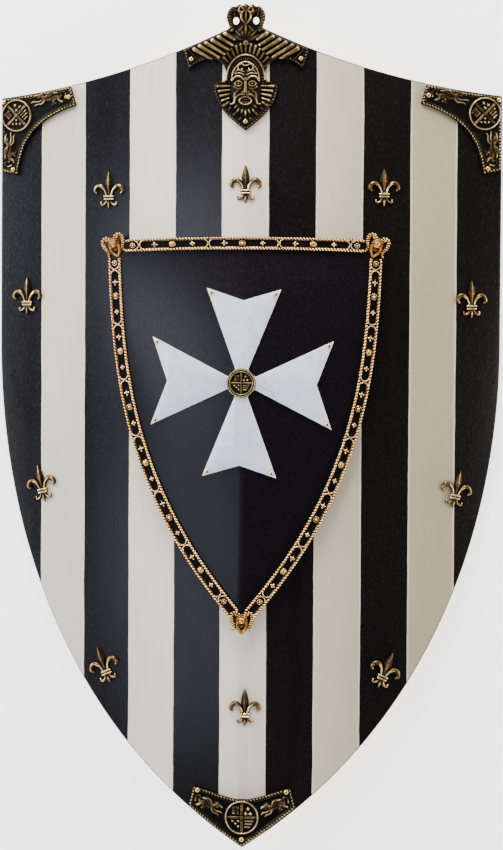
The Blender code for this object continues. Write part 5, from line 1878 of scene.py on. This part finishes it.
@dataclass
class Lilies:
    """Ten cast lilies in polished brass."""

    cell: float = 0.33
    seat: float = SEAT_GAP
    edge_distance: float = 25.5

    def draw(self) -> Relief:
        """Draw one lily about its own middle."""
        base = self.seat + 0.5
        relief = Relief((-15, -17), (15, 17), self.cell, base)
        spear = smooth_line(((0, -6), (0, 0), (0, 5), (0, 10.5), (0, 16)))
        halves = np.interp(np.linspace(0, 1, len(spear)), [0, 0.25, 0.5, 0.75, 1],
                           [1.5, 1.9, 3.5, 2.4, 0.3])
        relief.stroke(spear, list(halves), 1.9, base, ridge=0.75)
        petal = smooth_line(((1.6, -6), (3.2, -0.6), (6.6, 3.2), (10.4, 2.8), (12.2, -0.6),
                             (10.6, -2.6)))
        halves = np.interp(np.linspace(0, 1, len(petal)), [0, 0.2, 0.5, 0.8, 1],
                           [1.3, 1.5, 2.1, 1.8, 1.0])
        relief.pair(petal, list(halves), 1.7, base=base, ridge=0.35)
        relief.pair(smooth_line(((1.8, -5.4), (3.6, -0.2), (7.0, 3.0))), 0.45, 0.5,
                    base=base + 1.4)
        relief.stroke([(-3.9, -5.4), (3.9, -5.4)], 1.0, 2.1, base)
        relief.stroke([(-3.6, -7.7), (3.6, -7.7)], 1.0, 2.0, base)
        toe = smooth_line(((0.9, -8), (3.2, -11.6), (6.2, -12.6), (6.8, -10.6)))
        relief.pair(toe, list(np.linspace(1.3, 0.8, len(toe))), 1.5, base=base, ridge=0.3)
        relief.stroke([(0, -8), (0, -12), (0, -16)], [1.3, 1.9, 0.3], 1.7, base, ridge=0.6)
        relief.soften()
        return relief

    def places(self) -> list[tuple[str, float, float, float]]:
        """Give each lily's name, u, v and tilt in degrees."""
        def inside(v: float) -> float:
            """Give the reach of a lily at a height."""
            side = [BOARD.side_edge(share) for share in np.linspace(0, 1, 61)]
            wide = float(np.interp(-v, [-spot[1] for spot in side], [spot[0] for spot in side]))
            return wide - self.edge_distance

        return [("upper_left", -118.5, 202.55, 0), ("upper_middle", 0.2, 207.05, 0),
                ("upper_right", 117.5, 204.55, 0), ("side_left", -inside(110.3), 112.3, 0),
                ("side_right", inside(110.3), 110.3, 0),
                ("lower_left", 1 - inside(-51.2), -50.2, 12.5),
                ("lower_right", inside(-51.2) + 1, -51.2, -12),
                ("foot_left", -inside(-206.0), -206.0, 22),
                ("foot_right", inside(-206.0), -206.0, -23.5), ("foot_middle", 2.0, -239.0, 0)]

    def build(self, finishes: Finishes) -> None:
        """Build and dress the ten lilies."""
        first = self.draw().cast("lily", self.seat, None, 0.2)
        for word, u, v, tilt in self.places():
            lily = copied(first, f"cast_lily_{word}")
            finished(lily, BEND.stand(u, v, 0.0, radians(tilt)), pi)
            settle(lily, (finishes.polished,), "polished_brass", f"lily_{word}")
        bpy.data.objects.remove(first)


@dataclass
class Nails:
    """Domed brass nail heads, each on its own fitting."""

    heads: ClassVar[dict[str, tuple[list[Point], float]]] = {}
    radius: float = 1.8
    dome: float = 1.05

    def build(self, finishes: Finishes) -> None:
        """Build and dress all the nails."""
        cross = Cross()
        heads = {"cross": (cross.nails(), cross.face), **self.heads}
        turns = np.radians(np.linspace(0, 84, 7))
        profile = [(self.radius * 0.9, 0.0)]
        profile += [(self.radius * cos(turn), 0.25 + self.dome * sin(turn)) for turn in turns]
        first = turned("nail", profile, 20)
        # Painted shade and highlight: the heads are graded by height, dark brown at the foot and
        # bright at the crown, through the attribute that the castings use for their wear.
        mark = first.data.attributes.new("worn", "FLOAT", "POINT")
        mark.data.foreach_set("value",
                              np.interp(coordinates(first)[:, 2], [0, self.dome], [0.1, 0.8]))
        for fitting, (places, seat) in heads.items():
            for index, (u, v) in enumerate(places, start=1):
                nail = copied(first, f"nail_head_{fitting}_{index}")
                finished(nail, BEND.stand(u, v, seat + 0.02), radians(60))
                settle(nail, (finishes.nail,), "nail_brass", f"nail_{fitting}_{index}")
        bpy.data.objects.remove(first)


# The scene

@dataclass(frozen=True)
class Studio:
    """Pale floor, soft lights and the camera that stands square over the shield."""

    look: tuple[float, float, float] = (0.00635, 0.0026, 0.03615)
    distance: float = 2.0
    yaw: float = radians(5.80)
    pitch: float = radians(2.07)
    roll: float = radians(-0.3276)
    lens: float = 99.54
    floor_glow: float = 2.2
    room_heights: tuple[float, float] = (0.2, 0.54)
    room_powers: tuple[float, float] = (4.8, 0.13)

    def camera(self) -> None:
        """Set up the camera."""
        right = Vector((cos(self.yaw), 0.0, -sin(self.yaw)))
        depth = Vector((cos(self.pitch) * sin(self.yaw), sin(self.pitch),
                        cos(self.pitch) * cos(self.yaw)))
        up = depth.cross(right)
        across = cos(self.roll) * right - sin(self.roll) * up
        upward = sin(self.roll) * right + cos(self.roll) * up
        view = bpy.data.cameras.new("camera")
        view.lens = self.lens
        view.clip_end = 20
        camera = bpy.data.objects.new("camera", view)
        bpy.context.scene.collection.objects.link(camera)
        camera.matrix_world = Matrix.Translation(Vector(self.look) + depth * self.distance) @ (
            Matrix((across, upward, depth)).transposed().to_4x4())
        bpy.context.scene.camera = camera

    def light(self, name: str, place: tuple[float, float, float], size: float, power: float,
              colour: str) -> None:
        """Hang one soft light that looks at the shield."""
        lamp = bpy.data.lights.new(name, "AREA")
        lamp.shape = "DISK"
        lamp.size = size
        lamp.energy = power
        lamp.color = linear(colour)[:3]
        hung = bpy.data.objects.new(name, lamp)
        bpy.context.scene.collection.objects.link(hung)
        hung.location = place
        away = Vector(place) - Vector(self.look)
        hung.rotation_euler = away.to_track_quat("Z", "Y").to_euler()

    def floor(self) -> None:
        """Lay the pale floor."""
        bpy.ops.object.select_all(action="DESELECT")
        bpy.ops.mesh.primitive_plane_add(size=12, location=(0, 0, 0))
        floor = bpy.context.object
        floor.name = "floor"
        coat = Coat("pale_matt_floor", Roughness=0.9)
        coat.shader.inputs["Base Color"].default_value = linear("#F4F4F4")
        coat.shader.inputs["Emission Color"].default_value = linear("#FFFFFF")
        coat.shader.inputs["Emission Strength"].default_value = self.floor_glow
        floor.data.materials.append(coat.material)

    def build(self) -> None:
        """Set up everything round the shield; the room is dark above and bright at its sides."""
        self.floor()
        self.camera()
        for name, place, size, power, colour in (
                ("soft_left", (-2.8, 1.3, 0.65), 1.5, 110, "#F0F3FF"),
                ("faint_sheen", (-1.08, 0.5, 2.15), 0.95, 11, "#DEE1FA"),
                ("faint_sheen_low", (-1.15, -0.6, 2.1), 1.3, 9, "#DEE1FA"),
                ("soft_right", (2.6, 0.2, 0.9), 1.3, 34, "#FFEFD8"),
                ("soft_above", (-0.3, 2.6, 1.3), 1.3, 115, "#FFFBF4")):
            self.light(name, place, size, power, colour)
        world = bpy.data.worlds.new("studio")
        bpy.context.scene.world = world
        world.use_nodes = True
        backdrop = next(n for n in world.node_tree.nodes if n.type == "BACKGROUND")
        backdrop.inputs["Color"].default_value = linear("#F2F4F8")
        tree = world.node_tree
        way = add_node(tree, "ShaderNodeTexCoord").outputs["Generated"]
        height = add_node(tree, "ShaderNodeSeparateXYZ", {"Vector": way}).outputs["Z"]
        fade = add_node(tree, "ShaderNodeMapRange", {"Value": height},
                        {"From Min": self.room_heights[0], "From Max": self.room_heights[1],
                         "To Min": self.room_powers[0], "To Max": self.room_powers[1]},
                        interpolation_type="SMOOTHSTEP")
        tree.links.new(fade.outputs[0], backdrop.inputs["Strength"])


def main() -> None:
    """Build and dress the shield piece by piece."""
    logging.basicConfig(level=logging.INFO, format="%(name)s: %(message)s")
    finishes = Finishes()
    for assembly in (Board(), RaisedPanel(), Cross(), Border(), Knots(), Medallion(), CrestPlate(),
                     CornerPlate(Side.LEFT), CornerPlate(Side.RIGHT), TipPlate(), Lilies(),
                     Nails()):
        assembly.build(finishes)
    Studio().build()


if __name__ == "__main__":
    main()
